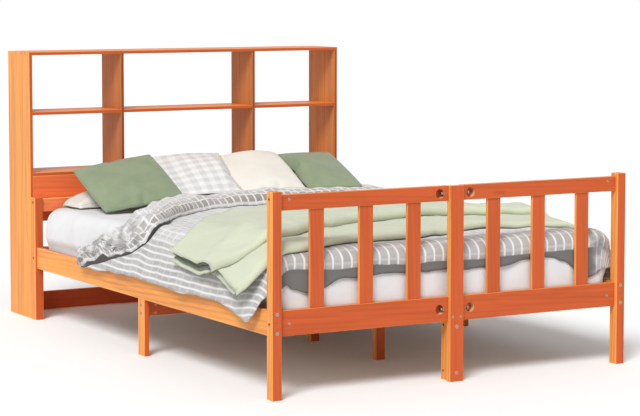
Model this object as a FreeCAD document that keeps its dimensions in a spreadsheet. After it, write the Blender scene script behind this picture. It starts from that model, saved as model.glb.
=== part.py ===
import FreeCAD, Part
import math
import os
import re
import Sketcher
from FreeCAD import Placement, Rotation, Vector

# Double bed of solid pine: low head frame, slatted footboard, side rails on middle legs and a bookcase behind.
# Millimetres. The origin is at the middle of the floor under the bed, the foot end points to -Y, up is +Z.

SIZES = [
    # the frame as a whole
    ("bed_width", 1482), ("frame_reach", 2045), ("ease", 2), ("fit", 0.2), ("contact", 0.05),
    ("soft_clear", 0.4),
    # posts
    ("post_width", 36), ("foot_post_depth", 41), ("foot_post_height", 707), ("head_post_depth", 45),
    ("head_post_height", 511),
    # rails of the foot and head frames, and the board between their halves
    ("rail_setback", 13), ("end_rail_thick", 22), ("top_rail_height", 54), ("foot_drop", 12), ("head_drop", 6),
    ("low_rail_height", 88), ("low_rail_bottom", 215), ("board_width", 56), ("board_thick", 24),
    # upright slats of the footboard, let into both rails
    ("upright_width", 56), ("upright_thick", 12), ("upright_setback", 5), ("upright_first_share", 0.217),
    ("upright_pitch_share", 0.288), ("tenon", 10),
    # side rails, battens and the legs below them
    ("side_inset", 8), ("side_thick", 20), ("batten_thick", 20), ("batten_height", 25), ("seat_rise", 43),
    ("mid_leg_depth", 56), ("mid_leg_share", 0.509), ("cross_thick", 24), ("cross_height", 65),
    # beam on the centre line and its legs
    ("beam_width", 54), ("centre_leg_width", 38), ("centre_leg_depth", 30), ("centre_leg_share", 0.2523),
    ("foot_leg_width", 36), ("foot_leg_depth", 50),
    # mattress slats
    ("slat_width", 70), ("slat_thick", 14), ("slat_count", 13), ("slat_gap_end", 22), ("tape_width", 25),
    ("tape_thick", 1.2), ("tape_line_share", 0.55),
    # bookcase
    ("case_depth", 232), ("case_height", 1114), ("case_side_thick", 14), ("shelf_thick", 13),
    ("mid_shelf_share", 0.518), ("low_shelf_rise", 100), ("divider_depth_share", 0.858),
    ("divider_share", 0.2132), ("housing", 3), ("panel_height", 190), ("stretcher_height", 78),
    # bolts, nuts, dowels and screws
    ("bolt_radius", 3), ("bolt_length", 66), ("bolt_head_radius", 6.5), ("bolt_head_thick", 3),
    ("socket_radius", 2.9), ("seat_shallow", 3.4), ("seat_deep", 10), ("nut_radius", 5), ("nut_length", 16),
    ("nut_reach", 36), ("side_nut_reach", 22), ("side_bolt_rise", 13), ("side_bolt_fall", 10),
    ("pilot_rise", 47), ("pilot_radius", 2.5), ("dowel_radius", 4), ("dowel_length", 36), ("dowel_share", 0.33),
    ("end_bolt_rise", 42), ("end_bolt_drop", 15), ("leg_bolt_low", 31.5), ("leg_bolt_fall", 19),
    ("cross_bolt_low_share", 0.16), ("cross_bolt_high_share", 0.63), ("rod_radius", 4), ("rod_length", 118),
    ("access_radius", 17.5), ("access_depth", 19), ("access_line", 64), ("rod_nut_share", 0.8),
    ("hex_radius", 7.5), ("hex_thick", 6.5), ("flange_radius", 10), ("flange_thick", 2), ("screw_radius", 2),
    ("screw_length", 36), ("screw_head_radius", 4), ("screw_head_thick", 2.4), ("screw_seat", 3),
    ("beam_screw_line", 16), ("beam_screw_rise", 16),
    # mattress and bedding
    ("mattress_gap", 13), ("mattress_end_gap", 10), ("mattress_thick", 200), ("mattress_round", 45),
    ("cover_thick", 14), ("cover_hem_drop", 17), ("cover_foot_drop", 72), ("cover_foot_thick", 9),
    ("cover_end_thick", 2), ("cover_corner_share", 0.25), ("foot_hang_share", 0.85), ("cuff_thick", 42),
    ("cuff_side_thick", 22),
    ("cuff_front", 85), ("cuff_front_share", 0.6), ("cuff_slope_share", 0.3), ("cuff_hem_rise", 6),
    ("lower_thick", 32), ("upper_thick", 42), ("throw_side_thick", 16), ("throw_edge", 12), ("throw_step", 60),
    ("lower_wide_share", 0.2), ("lower_drop", 112), ("upper_drop", 85),
    ("cushion_thick", 80), ("cushion_edge_share", 0.14), ("cushion_draw_share", 0.04),
    ("green_left_line_share", -0.2868), ("green_left_reach_share", 0.8845), ("green_left_wide_share", 0.243),
    ("green_left_tall", 370), ("green_left_yaw_angle", -4), ("green_left_lean_angle", 25),
    ("green_left_tilt_angle", 9),
    ("gingham_line_share", -0.0579), ("gingham_reach_share", 0.8985), ("gingham_wide_share", 0.189),
    ("gingham_tall", 355), ("gingham_yaw_angle", -7), ("gingham_lean_angle", 24), ("gingham_tilt_angle", 0),
    ("cream_line_share", 0.142), ("cream_reach_share", 0.893), ("cream_wide_share", 0.189),
    ("cream_tall", 385), ("cream_yaw_angle", -7), ("cream_lean_angle", 20), ("cream_tilt_angle", 0),
    ("green_right_line_share", 0.335), ("green_right_reach_share", 0.893), ("green_right_wide_share", 0.176),
    ("green_right_tall", 400), ("green_right_yaw_angle", -7), ("green_right_lean_angle", 18),
    ("green_right_tilt_angle", 0),
    ("pillow_depth", 190), ("pillow_height", 85), ("pillow_length", 600), ("pillow_gap", 70),
]

# Lengths that follow from the sheet, told as expressions of its names.
DERIVED = {
    "foot_top": "foot_post_height - foot_drop",
    "head_top": "head_post_height - head_drop",
    "seat_height": "low_rail_bottom + seat_rise",
    "side_bolt_low": "low_rail_bottom + side_bolt_rise",
    "side_bolt_high": "low_rail_bottom + low_rail_height - side_bolt_fall",
    "pilot_line": "low_rail_bottom + pilot_rise",
    "end_bolt_low": "low_rail_bottom + end_bolt_rise",
    "leg_bolt_high": "low_rail_bottom - leg_bolt_fall",
    "cross_bottom": "low_rail_bottom - cross_height",
    "cross_bolt_low": "low_rail_bottom - cross_height + cross_height*cross_bolt_low_share",
    "cross_bolt_high": "low_rail_bottom - cross_height + cross_height*cross_bolt_high_share",
    "beam_screw_height": "low_rail_bottom + beam_screw_rise",
    "mid_leg_line": "frame_reach*mid_leg_share",
    "centre_leg_step": "frame_reach*centre_leg_share",
    "upright_first": "post_width + upright_first_share*(bed_width/2 - post_width - board_width/2)",
    "upright_pitch": "upright_pitch_share*(bed_width/2 - post_width - board_width/2)",
    "low_shelf_top": "head_post_height + low_shelf_rise",
    "mid_shelf_top": "low_shelf_top + mid_shelf_share*(case_height - shelf_thick - low_shelf_top)",
    "divider_depth": "case_depth*divider_depth_share",
    "divider_line": "bed_width/2 - bed_width*divider_share",
    "mattress_width": "bed_width - side_inset*2 - side_thick*2 - mattress_gap*2",
    "mattress_length": "frame_reach + head_post_depth - rail_setback*2 - end_rail_thick*2 - mattress_end_gap*2",
}

doc = FreeCAD.newDocument("wooden_bed")
sheet = doc.addObject("Spreadsheet::Sheet", "sizes")
for row, (alias, value) in enumerate(SIZES, 1):
    sheet.set(f"A{row}", alias)
    sheet.set(f"B{row}", str(value))
    sheet.setAlias(f"B{row}", alias)
doc.recompute()

NODES = []


def bound(text):
    """The expression in sheet terms: derived lengths written out, the sheet's name before each alias."""
    def written(found):
        name = found.group(0)
        if name in DERIVED:
            return f"({bound(DERIVED[name])})"
        return "sizes." + name
    return re.sub(r"[a-z][a-z_]*", written, str(text))


def number(text):
    """The present value of an expression of aliases."""
    return float(sheet.evalExpression(bound(text)))


def point(place):
    return Vector(*(number(part) for part in place))


# Lines that many pieces share, as expressions of the sheet.
FOOT = "(-(frame_reach + head_post_depth + case_depth)/2)"
HEAD = f"({FOOT} + frame_reach)"
CASE = f"({HEAD} + head_post_depth)"
REAR = f"({CASE} + case_depth)"
SIDE = "(bed_width/2)"
RAIL_RUN = "(bed_width/2 - post_width - board_width/2)"
FOOT_RAIL = f"({FOOT} + rail_setback)"
HEAD_RAIL = f"({CASE} - rail_setback - end_rail_thick)"
SIDE_RUN = "(frame_reach - foot_post_depth)"
SIDE_BACK = f"({FOOT} + foot_post_depth)"
LOW_TOP = "(low_rail_bottom + low_rail_height)"
SEAT = "(seat_height + slat_thick)"
END_BOLT_HIGH = {"foot": "(foot_top - end_bolt_drop)", "head": "(head_top - end_bolt_drop)"}
PLANES = {"X": "YZ_Plane", "Y": "XZ_Plane", "Z": "XY_Plane"}
ACROSS = {"X": "YZ", "Y": "XZ", "Z": "XY"}
HANDS = (("left", -1), ("right", 1))


def across(sign, inset, width):
    """Low X of a piece whose outer face lies inset from the bed's side, on either hand."""
    if sign < 0:
        return f"(-{SIDE} + ({inset}))"
    return f"({SIDE} - ({inset}) - ({width}))"


def mirrored(sign, reach, run):
    """A distance from a piece's outer end, told from its low-X end."""
    if sign < 0:
        return f"({reach})"
    return f"({run} - ({reach}))"


def plane_of(body, axis):
    return next(part for part in body.Origin.OriginFeatures if part.Role == PLANES[axis])


def sketch_on(body, axis, lift=None, corner=None):
    """A sketch square to an axis of the body, moved along it by lift and across it to a corner."""
    sketch = body.newObject("Sketcher::SketchObject", "sketch")
    sketch.AttachmentSupport = [(plane_of(body, axis), "")]
    sketch.MapMode = "FlatFace"
    if lift is not None:
        turn = "-" if axis == "Y" else ""
        sketch.setExpression("AttachmentOffset.Base.z", bound(f"{turn}({lift})"))
    if corner is not None:
        sketch.setExpression("AttachmentOffset.Base.x", bound(corner[0]))
        sketch.setExpression("AttachmentOffset.Base.y", bound(corner[1]))
    return sketch


def draw_rectangle(sketch, wide, tall):
    """A rectangle from the sketch's origin with both sides bound to the sheet."""
    wide_now, tall_now = number(wide), number(tall)
    corners = [Vector(0, 0, 0), Vector(wide_now, 0, 0), Vector(wide_now, tall_now, 0), Vector(0, tall_now, 0)]
    for turn in range(4):
        sketch.addGeometry(Part.LineSegment(corners[turn], corners[(turn + 1) % 4]), False)
    for turn in range(4):
        sketch.addConstraint(Sketcher.Constraint("Coincident", turn, 2, (turn + 1) % 4, 1))
    for line, rule in enumerate(("Horizontal", "Vertical", "Horizontal", "Vertical")):
        sketch.addConstraint(Sketcher.Constraint(rule, line))
    sketch.addConstraint(Sketcher.Constraint("Coincident", 0, 1, -1, 1))
    for rule, line, size, now in (("DistanceX", 0, wide, wide_now), ("DistanceY", 1, tall, tall_now)):
        at = sketch.addConstraint(Sketcher.Constraint(rule, line, 1, line, 2, now))
        sketch.setExpression(f"Constraints[{at}]", bound(size))


def draw_circles(sketch, spots, radius):
    """Circles of one radius at places told from the sketch's origin."""
    for spot in spots:
        middle = Vector(number(spot[0]), number(spot[1]), 0)
        ring = sketch.addGeometry(Part.Circle(middle, Vector(0, 0, 1), number(radius)), False)
        for rule, size, now in (("DistanceX", spot[0], middle.x), ("DistanceY", spot[1], middle.y)):
            at = sketch.addConstraint(Sketcher.Constraint(rule, -1, 1, ring, 3, now))
            sketch.setExpression(f"Constraints[{at}]", bound(size))
        at = sketch.addConstraint(Sketcher.Constraint("Radius", ring, number(radius)))
        sketch.setExpression(f"Constraints[{at}]", bound(radius))


def sink(body, sketch, axis, depth, from_far):
    """A pocket cut into the body along an axis, from its near face or from its far one."""
    pocket = body.newObject("PartDesign::Pocket", "pocket")
    pocket.Profile = sketch
    pocket.Reversed = from_far if axis == "Y" else not from_far
    if depth is None:
        pocket.Type = "ThroughAll"
    else:
        pocket.setExpression("Length", bound(depth))
    sketch.Visibility = False
    return pocket


def timber(label, axis, size, corner, ease_ends=False):
    """A straight length of planed wood: its section padded along the grain, with the arrises eased."""
    body = doc.addObject("PartDesign::Body", label)
    body.Label = label
    wide, tall = (size["XYZ".index(way)] for way in ACROSS[axis])
    section = sketch_on(body, axis)
    draw_rectangle(section, wide, tall)
    pad = body.newObject("PartDesign::Pad", "run")
    pad.Profile = section
    pad.Reversed = axis == "Y"
    pad.setExpression("Length", bound(size["XYZ".index(axis)]))
    body.recompute(True)
    names = []
    for turn, edge in enumerate(pad.Shape.Edges, 1):
        way = edge.tangentAt(edge.FirstParameter)
        along = abs(getattr(way, axis.lower())) > 0.99
        top = ease_ends and edge.CenterOfMass.z > pad.Shape.BoundBox.ZMax - number("fit")
        if along or top:
            names.append(f"Edge{turn}")
    rounded = body.newObject("PartDesign::Fillet", "eased")
    rounded.Base = (pad, names)
    rounded.setExpression("Radius", bound("ease"))
    for letter, part in zip("xyz", corner):
        body.setExpression(f"Placement.Base.{letter}", bound(part))
    NODES.append(body)
    return body


def bore(body, axis, spots, radius, depth=None, far=None):
    """Round holes along an axis, from the near face, or from the far face at the lift given."""
    sketch = sketch_on(body, axis, lift=far)
    draw_circles(sketch, spots, radius)
    return sink(body, sketch, axis, depth, far is not None)


def mortise(body, axis, corner, wide, tall, depth, far=None):
    """A square-cornered recess along an axis: mortises for tenons and housings for shelves."""
    sketch = sketch_on(body, axis, lift=far, corner=corner)
    draw_rectangle(sketch, wide, tall)
    return sink(body, sketch, axis, depth, far is not None)


def group(label, shape, places):
    """Alike pieces in one node, each a solid of its own: places holds a point and a turn for each."""
    held = doc.addObject("Part::Feature", label)
    held.Label = label
    solids = []
    for spot, turn in places:
        piece = shape.copy()
        piece.Placement = Placement(point(spot), turn)
        solids.append(piece)
    held.Shape = Part.makeCompound(solids)
    NODES.append(held)
    return held


HOLE = "(bolt_radius + fit)"
SEAT_HOLE = "(bolt_head_radius + fit)"
NUT_HOLE = "(nut_radius + contact)"
NUT_DEPTH = "(side_inset + side_thick - post_width/2 + nut_length/2 + fit)"
DOWEL_HOLE = "(dowel_radius + contact)"
ROD_HOLE = "(rod_radius + fit)"
SCREW_HOLE = "(screw_radius + contact)"
SCREW_SEAT_HOLE = "(screw_head_radius + fit)"
bolts, nuts, dowels, rods, hexes, screws = [], [], [], [], [], []
TO_BACK = Rotation(Vector(1, 0, 0), -90)
TO_FRONT = Rotation(Vector(1, 0, 0), 90)
TO_RIGHT = Rotation(Vector(0, 1, 0), 90)
TO_LEFT = Rotation(Vector(0, 1, 0), -90)
TO_UP = Rotation()
QUARTER = Rotation(Vector(0, 0, 1), 90)

# Corner posts. Bolts run through each into the side rail, and crosswise into the end rails.
SIDE_BOLTS = ("side_bolt_low", "side_bolt_high")
RAIL_MIDDLE = "(rail_setback + end_rail_thick/2)"
ENDS = (("foot", "foot_post_depth", "foot_post_height"), ("head", "head_post_depth", "head_post_height"))
for end, depth, height in ENDS:
    line = RAIL_MIDDLE if end == "foot" else f"(head_post_depth - {RAIL_MIDDLE})"
    front = FOOT if end == "foot" else HEAD
    for hand, sign in HANDS:
        low = across(sign, "0", "post_width")
        post = timber(f"{end}_post_{hand}", "Z", ("post_width", depth, height), (low, front, "0"), True)
        along = [("post_width/2", high) for high in SIDE_BOLTS]
        bore(post, "Y", along, HOLE)
        peg_in = "dowel_length*dowel_share"
        peg_face = depth if end == "foot" else None
        bore(post, "Y", [("post_width/2", "pilot_line")], DOWEL_HOLE, f"{peg_in} + fit", peg_face)
        if end == "foot":
            bore(post, "Y", [("post_width/2", "pilot_line")], "pilot_radius", "seat_deep")
        bore(post, "Y", along, SEAT_HOLE, "seat_shallow", None if end == "foot" else depth)
        level = [(line, "end_bolt_low"), (line, END_BOLT_HIGH[end])]
        bore(post, "X", level, HOLE)
        bore(post, "X", level, SEAT_HOLE, "seat_deep", None if sign < 0 else "post_width")
        inward = TO_RIGHT if sign < 0 else TO_LEFT
        for high in SIDE_BOLTS:
            if end == "foot":
                bolts.append(((f"{low} + post_width/2", f"{FOOT} + seat_shallow", high), TO_BACK))
            else:
                bolts.append(((f"{low} + post_width/2", f"{CASE} - seat_shallow", high), TO_FRONT))
        for high in ("end_bolt_low", END_BOLT_HIGH[end]):
            bolts.append(((f"{sign}*({SIDE} - seat_deep)", f"{front} + {line}", high), inward))
        start = f"{SIDE_BACK} - {peg_in}" if end == "foot" else f"{HEAD} + {peg_in}"
        dowels.append(((f"{low} + post_width/2", start, "pilot_line"), TO_BACK if end == "foot" else TO_FRONT))

# Foot and head frames: two half rails above and below, drawn together through a board on the centre line.
UPRIGHT_BACK = "(rail_setback + upright_setback)"
ROD_IN = "(rail_setback + board_thick)/2"
ROD_CUT = "(rod_length/2 - board_width/2 + fit*4)"
for end in ("foot", "head"):
    rail_y = FOOT_RAIL if end == "foot" else HEAD_RAIL
    board_y = FOOT if end == "foot" else f"({CASE} - board_thick)"
    top = f"{end}_top"
    board = timber(f"{end}_centre_board", "Z", ("board_width", "board_thick", top),
                   ("-board_width/2", board_y, "0"), True)
    rod_y = f"({FOOT} + {ROD_IN})" if end == "foot" else f"({CASE} - {ROD_IN})"
    rod_levels = (f"({top} - top_rail_height/2)", "(low_rail_bottom + low_rail_height/2)")
    bore(board, "X", [(f"{rod_y} - {board_y}", high) for high in rod_levels], ROD_HOLE)
    for high in rod_levels:
        rods.append((("-rod_length/2", rod_y, high), TO_RIGHT))
        hexes.append((("access_radius*rod_nut_share - access_line", rod_y, high), TO_LEFT))
        hexes.append((("access_line - access_radius*rod_nut_share", rod_y, high), TO_RIGHT))
    for tier, tall, low, bolt in (("top", "top_rail_height", f"({top} - top_rail_height)", END_BOLT_HIGH[end]),
                                  ("low", "low_rail_height", "low_rail_bottom", "end_bolt_low")):
        for hand, sign in HANDS:
            start = across(sign, "post_width", RAIL_RUN)
            rail = timber(f"{end}_{tier}_rail_{hand}", "X", (RAIL_RUN, "end_rail_thick", tall),
                          (start, rail_y, low))
            outer = None if sign < 0 else RAIL_RUN
            inner = RAIL_RUN if sign < 0 else None
            high = f"({bolt} - {low})"
            bore(rail, "X", [("end_rail_thick/2", high)], HOLE,
                 "bolt_length - post_width + seat_deep + fit*4", outer)
            nut_x = mirrored(sign, "nut_reach", RAIL_RUN)
            middle = f"({tall}/2)"
            bore(rail, "X", [(f"{rod_y} - {rail_y}", middle)], ROD_HOLE, ROD_CUT, inner)
            access_x = mirrored(sign, f"{RAIL_RUN} + board_width/2 - access_line", RAIL_RUN)
            outside = None if end == "foot" else "end_rail_thick"
            bore(rail, "Y", [(nut_x, high)], NUT_HOLE, "end_rail_thick/2 + nut_length/2", outside)
            bore(rail, "Y", [(access_x, middle)], "access_radius", "access_depth", outside)
            if end == "foot":
                for turn in range(3):
                    centre = f"(upright_first + upright_pitch*{turn} - post_width)"
                    left = f"({mirrored(sign, centre, RAIL_RUN)} - upright_width/2 - fit)"
                    lift = None if tier == "top" else tall
                    mortise(rail, "Z", (left, "upright_setback - fit"), "upright_width + fit*2",
                            "upright_thick + fit*2", "tenon + fit", lift)
            way = TO_BACK if end == "foot" else TO_FRONT
            inset = "end_rail_thick/2 - nut_length/2"
            nut_y = f"{rail_y} + {inset}" if end == "foot" else f"{rail_y} + end_rail_thick - ({inset})"
            nuts.append(((f"{start} + {nut_x}", nut_y, bolt), way))
UPRIGHT_RUN = f"(foot_top - top_rail_height - {LOW_TOP} + tenon*2)"
for hand, sign in HANDS:
    for turn in range(3):
        start = across(sign, f"(upright_first + upright_pitch*{turn} - upright_width/2)", "upright_width")
        timber(f"foot_upright_{hand}_{turn + 1}", "Z", ("upright_width", "upright_thick", UPRIGHT_RUN),
               (start, f"{FOOT_RAIL} + upright_setback", f"{LOW_TOP} - tenon"))

# Short leg bolted behind the foot's centre board; it carries the beam's end.
foot_board = doc.getObject("foot_centre_board")
foot_leg = timber("foot_centre_leg", "Z", ("foot_leg_width", "foot_leg_depth", "low_rail_bottom"),
                  ("-foot_leg_width/2", f"{FOOT} + board_thick", "0"))
LEG_LEVELS = ("leg_bolt_low", "leg_bolt_high")
LEG_NUT = "(bolt_length + seat_shallow - board_thick - nut_radius*2)"
bore(foot_board, "Y", [("board_width/2", high) for high in LEG_LEVELS], HOLE)
bore(foot_board, "Y", [("board_width/2", high) for high in LEG_LEVELS], SEAT_HOLE, "seat_shallow")
bore(foot_leg, "Y", [("foot_leg_width/2", high) for high in LEG_LEVELS], HOLE,
     "bolt_length + seat_shallow - board_thick + fit*4")
bore(foot_leg, "X", [(LEG_NUT, high) for high in LEG_LEVELS], NUT_HOLE, "foot_leg_width/2 + nut_length/2")
for high in LEG_LEVELS:
    bolts.append((("0", f"{FOOT} + seat_shallow", high), TO_BACK))
    nuts.append((("-nut_length/2", f"{FOOT} + board_thick + {LEG_NUT}", high), TO_RIGHT * QUARTER))

# Side rails with a batten inside each, bolted to the posts at both ends.
for hand, sign in HANDS:
    start = across(sign, "side_inset", "side_thick")
    rail = timber(f"side_rail_{hand}", "Y", ("side_thick", SIDE_RUN, "low_rail_height"),
                  (start, SIDE_BACK, "low_rail_bottom"))
    axis_x = f"({across(sign, '0', 'post_width')} + post_width/2 - {start})"
    levels = [(axis_x, f"({high} - low_rail_bottom)") for high in SIDE_BOLTS]
    peg = [(axis_x, "pilot_rise")]
    for far, post in ((None, "foot_post_depth"), (SIDE_RUN, "head_post_depth")):
        bore(rail, "Y", levels, HOLE, f"bolt_length + seat_shallow - {post} + fit*4", far)
        bore(rail, "Y", peg, DOWEL_HOLE, "dowel_length - dowel_length*dowel_share + fit", far)
    inner = "side_thick" if sign < 0 else None
    reaches = ("side_nut_reach", f"{SIDE_RUN} - side_nut_reach")
    spots = [(reach, f"({high} - low_rail_bottom)") for reach in reaches for high in SIDE_BOLTS]
    bore(rail, "X", spots, NUT_HOLE, NUT_DEPTH, inner)
    face = f"({sign}*({SIDE} - post_width/2 - nut_length/2))"
    for reach in (f"{SIDE_BACK} + side_nut_reach", f"{HEAD} - side_nut_reach"):
        for high in SIDE_BOLTS:
            nuts.append(((face, reach, high), (TO_LEFT if sign < 0 else TO_RIGHT) * QUARTER))
    lying = across(sign, "side_inset + side_thick", "batten_thick")
    batten = timber(f"slat_batten_{hand}", "Y", ("batten_thick", f"{SIDE_RUN} - nut_reach*3", "batten_height"),
                    (lying, f"{SIDE_BACK} + nut_reach*1.5", "seat_height - batten_height"))
    steps = [f"(({SIDE_RUN} - nut_reach*3)*{share})" for share in ("0.05", "0.275", "0.5", "0.725", "0.95")]
    near = "batten_thick" if sign < 0 else None
    bore(batten, "X", [(step, "batten_height/2") for step in steps], SCREW_HOLE)
    bore(batten, "X", [(step, "batten_height/2") for step in steps], SCREW_SEAT_HOLE, "screw_seat", near)
    high = "(seat_height - batten_height/2 - low_rail_bottom)"
    bore(rail, "X", [(f"{step} + nut_reach*1.5", high) for step in steps], SCREW_HOLE,
         "screw_length + screw_seat - batten_thick + fit*2", inner)
    for step in steps:
        spot = (f"{sign}*({SIDE} - side_inset - side_thick - batten_thick + screw_seat)",
                f"{SIDE_BACK} + nut_reach*1.5 + {step}", "seat_height - batten_height/2")
        screws.append((spot, TO_LEFT if sign < 0 else TO_RIGHT))

# Middle legs under the side rails, tied by a cross beam.
LEG_Y = f"({FOOT} + mid_leg_line)"
CROSS_RUN = "(bed_width - side_inset*2 - side_thick*2)"
CROSS_LEVELS = ("cross_bolt_low", "cross_bolt_high")
cross = timber("cross_beam", "X", (CROSS_RUN, "cross_thick", "low_rail_bottom - cross_bottom"),
               (f"-{CROSS_RUN}/2", f"{LEG_Y} - cross_thick/2", "cross_bottom"))
for hand, sign in HANDS:
    start = across(sign, "side_inset", "side_thick")
    leg = timber(f"mid_leg_{hand}", "Z", ("side_thick", "mid_leg_depth", "low_rail_bottom"),
                 (start, f"{LEG_Y} - mid_leg_depth/2", "0"))
    outside = None if sign < 0 else "side_thick"
    level = [("mid_leg_depth/2", high) for high in CROSS_LEVELS]
    bore(leg, "X", level, HOLE)
    bore(leg, "X", level, SEAT_HOLE, "seat_shallow", outside)
    bore(leg, "Z", [("side_thick/2", "mid_leg_depth/4"), ("side_thick/2", "mid_leg_depth*3/4")], DOWEL_HOLE,
         "dowel_length/2 + fit", "low_rail_bottom")
    rail = doc.getObject(f"side_rail_{hand}")
    leg_low = "mid_leg_line - foot_post_depth - mid_leg_depth/2"
    pegs = [("side_thick/2", f"{leg_low} + mid_leg_depth*{share}/4") for share in (1, 3)]
    bore(rail, "Z", pegs, DOWEL_HOLE, "dowel_length/2 + fit")
    end_face = None if sign < 0 else CROSS_RUN
    bore(cross, "X", [("cross_thick/2", f"{high} - cross_bottom") for high in CROSS_LEVELS], HOLE,
         "bolt_length + seat_shallow - side_thick + fit*4", end_face)
    nut_x = mirrored(sign, "nut_reach", CROSS_RUN)
    bore(cross, "Y", [(nut_x, f"{high} - cross_bottom") for high in CROSS_LEVELS], NUT_HOLE,
         "cross_thick/2 + nut_length/2")
    inward = TO_RIGHT if sign < 0 else TO_LEFT
    for high in CROSS_LEVELS:
        bolts.append(((f"{sign}*({SIDE} - side_inset - seat_shallow)", LEG_Y, high), inward))
        nuts.append(((f"-{CROSS_RUN}/2 + {nut_x}", f"{LEG_Y} - nut_length/2", high), TO_BACK))
    for share in (1, 3):
        dowels.append(((f"{start} + side_thick/2", f"{LEG_Y} - mid_leg_depth/2 + mid_leg_depth*{share}/4",
                        "low_rail_bottom - dowel_length/2"), TO_UP))

# Beam on the centre line, screwed to both centre boards, with its legs.
BEAM_RUN = "(frame_reach + head_post_depth - board_thick*2)"
BEAM_TALL = "(seat_height - low_rail_bottom)"
beam = timber("centre_beam", "Y", ("beam_width", BEAM_RUN, BEAM_TALL),
              ("-beam_width/2", f"{FOOT} + board_thick", "low_rail_bottom"))
head_board = doc.getObject("head_centre_board")
for sign in (-1, 1):
    for board, far, start, way in ((foot_board, None, f"{FOOT} + screw_seat", TO_BACK),
                                   (head_board, "board_thick", f"{CASE} - screw_seat", TO_FRONT)):
        spot = (f"board_width/2 + {sign}*beam_screw_line", "beam_screw_height")
        bore(board, "Y", [spot], SCREW_HOLE)
        bore(board, "Y", [spot], SCREW_SEAT_HOLE, "screw_seat", far)
        screws.append(((f"{sign}*beam_screw_line", start, "beam_screw_height"), way))
    spot = (f"beam_width/2 + {sign}*beam_screw_line", "beam_screw_height - low_rail_bottom")
    for far in (None, BEAM_RUN):
        bore(beam, "Y", [spot], SCREW_HOLE, "screw_length + screw_seat - board_thick + fit*2", far)
for turn, name in ((1, "foot"), (2, "mid"), (3, "head")):
    back = "0" if turn != 2 else "(cross_thick/2 + centre_leg_depth/2 + contact)"
    line = f"{FOOT} + mid_leg_line + centre_leg_step*({turn} - 2) - centre_leg_depth/2 - {back}"
    timber(f"centre_leg_{name}", "Z", ("centre_leg_width", "centre_leg_depth", "low_rail_bottom"),
           ("-centre_leg_width/2", line, "0"))

# Slatted base: loose slats on battens and beam, held at their spacing by two tapes.
SLAT_RUN = "(bed_width - side_inset*2 - side_thick*2 - fit*20)"
SLAT_FIRST = f"({FOOT} + rail_setback + end_rail_thick + slat_gap_end)"
SLAT_SPAN = "(frame_reach - rail_setback - end_rail_thick - slat_gap_end*2 - slat_width)"
slat = timber("bed_slat", "X", (SLAT_RUN, "slat_width", "slat_thick"), ("0", "0", "0"))
NODES.remove(slat)
doc.recompute()
count = int(number("slat_count"))
lying = []
for turn in range(count):
    lying.append(((f"-{SLAT_RUN}/2", f"{SLAT_FIRST} + {SLAT_SPAN}*{turn}/{count - 1}", "seat_height"), TO_UP))
group("bed_slats", slat.Shape, lying)
tape = doc.addObject("Part::Box", "slat_tape")
tape.setExpression("Length", bound("tape_width"))
tape.setExpression("Width", bound(f"{SLAT_SPAN} + slat_width"))
tape.setExpression("Height", bound("tape_thick"))
doc.recompute()
hung = []
for sign in (-1, 1):
    line = f"{sign}*tape_line_share*mattress_width/2 - tape_width/2"
    hung.append(((line, SLAT_FIRST, "seat_height - tape_thick"), TO_UP))
group("slat_tapes", tape.Shape, hung)

# Bookcase behind the head frame: the shelves are housed in the sides and dividers, the back is open.
CASE_IN = "(bed_width/2 - case_side_thick)"
CASE_UNDER = "(case_height - shelf_thick)"
for hand, sign in HANDS:
    panel = timber(f"bookcase_side_{hand}", "Z", ("case_side_thick", "case_depth", CASE_UNDER),
                   (across(sign, "0", "case_side_thick"), CASE, "0"))
    inner = "case_side_thick" if sign < 0 else None
    for top in ("low_shelf_top", "mid_shelf_top"):
        mortise(panel, "X", ("-ease", f"{top} - shelf_thick - fit/2"), "case_depth + ease*2",
                "shelf_thick + fit", "housing + fit", inner)
    mortise(panel, "X", ("-ease", "low_shelf_top - shelf_thick - panel_height - fit/2"),
            "shelf_thick + ease + fit", "panel_height + fit", "housing + fit", inner)
    mortise(panel, "X", ("case_depth - shelf_thick - fit", "-ease"), "shelf_thick + fit + ease",
            "stretcher_height + ease + fit", "housing + fit", inner)
    pegs = [("case_side_thick/2", f"case_depth*{share}") for share in ("0.2", "0.8")]
    bore(panel, "Z", pegs, DOWEL_HOLE, "dowel_length - shelf_thick/2 + fit", CASE_UNDER)
top = timber("bookcase_top", "X", ("bed_width", "case_depth", "shelf_thick"), (f"-{SIDE}", CASE, CASE_UNDER))
for sign in (-1, 1):
    line = f"(bed_width/2 + {sign}*(bed_width/2 - case_side_thick/2))"
    pegs = [(line, f"case_depth*{share}") for share in ("0.2", "0.8")]
    bore(top, "Z", pegs, DOWEL_HOLE, "shelf_thick/2 + fit")
    mortise(top, "Z", (f"bed_width/2 + {sign}*(bed_width/2 - divider_line) - shelf_thick/2 - fit/2", "-ease"),
            "shelf_thick + fit", "divider_depth + ease + fit", "housing + fit")
    for share in ("0.2", "0.8"):
        dowels.append(((f"{sign}*({SIDE} - case_side_thick/2)", f"{CASE} + case_depth*{share}",
                        f"{CASE_UNDER} + shelf_thick/2 - dowel_length"), TO_UP))
LOW_RUN = f"({CASE_IN}*2 + housing*2)"
low_shelf = timber("bookcase_low_shelf", "X", (LOW_RUN, "case_depth", "shelf_thick"),
                   (f"-{LOW_RUN}/2", CASE, "low_shelf_top - shelf_thick"))
DIVIDER_X = f"({SIDE} - divider_line)"
for sign in (-1, 1):
    mortise(low_shelf, "Z", (f"{LOW_RUN}/2 + {sign}*{DIVIDER_X} - shelf_thick/2 - fit/2", "-ease"),
            "shelf_thick + fit", "divider_depth + ease + fit", "housing + fit", "shelf_thick")
DIVIDER_TALL = f"({CASE_UNDER} - low_shelf_top + housing*2)"
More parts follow.
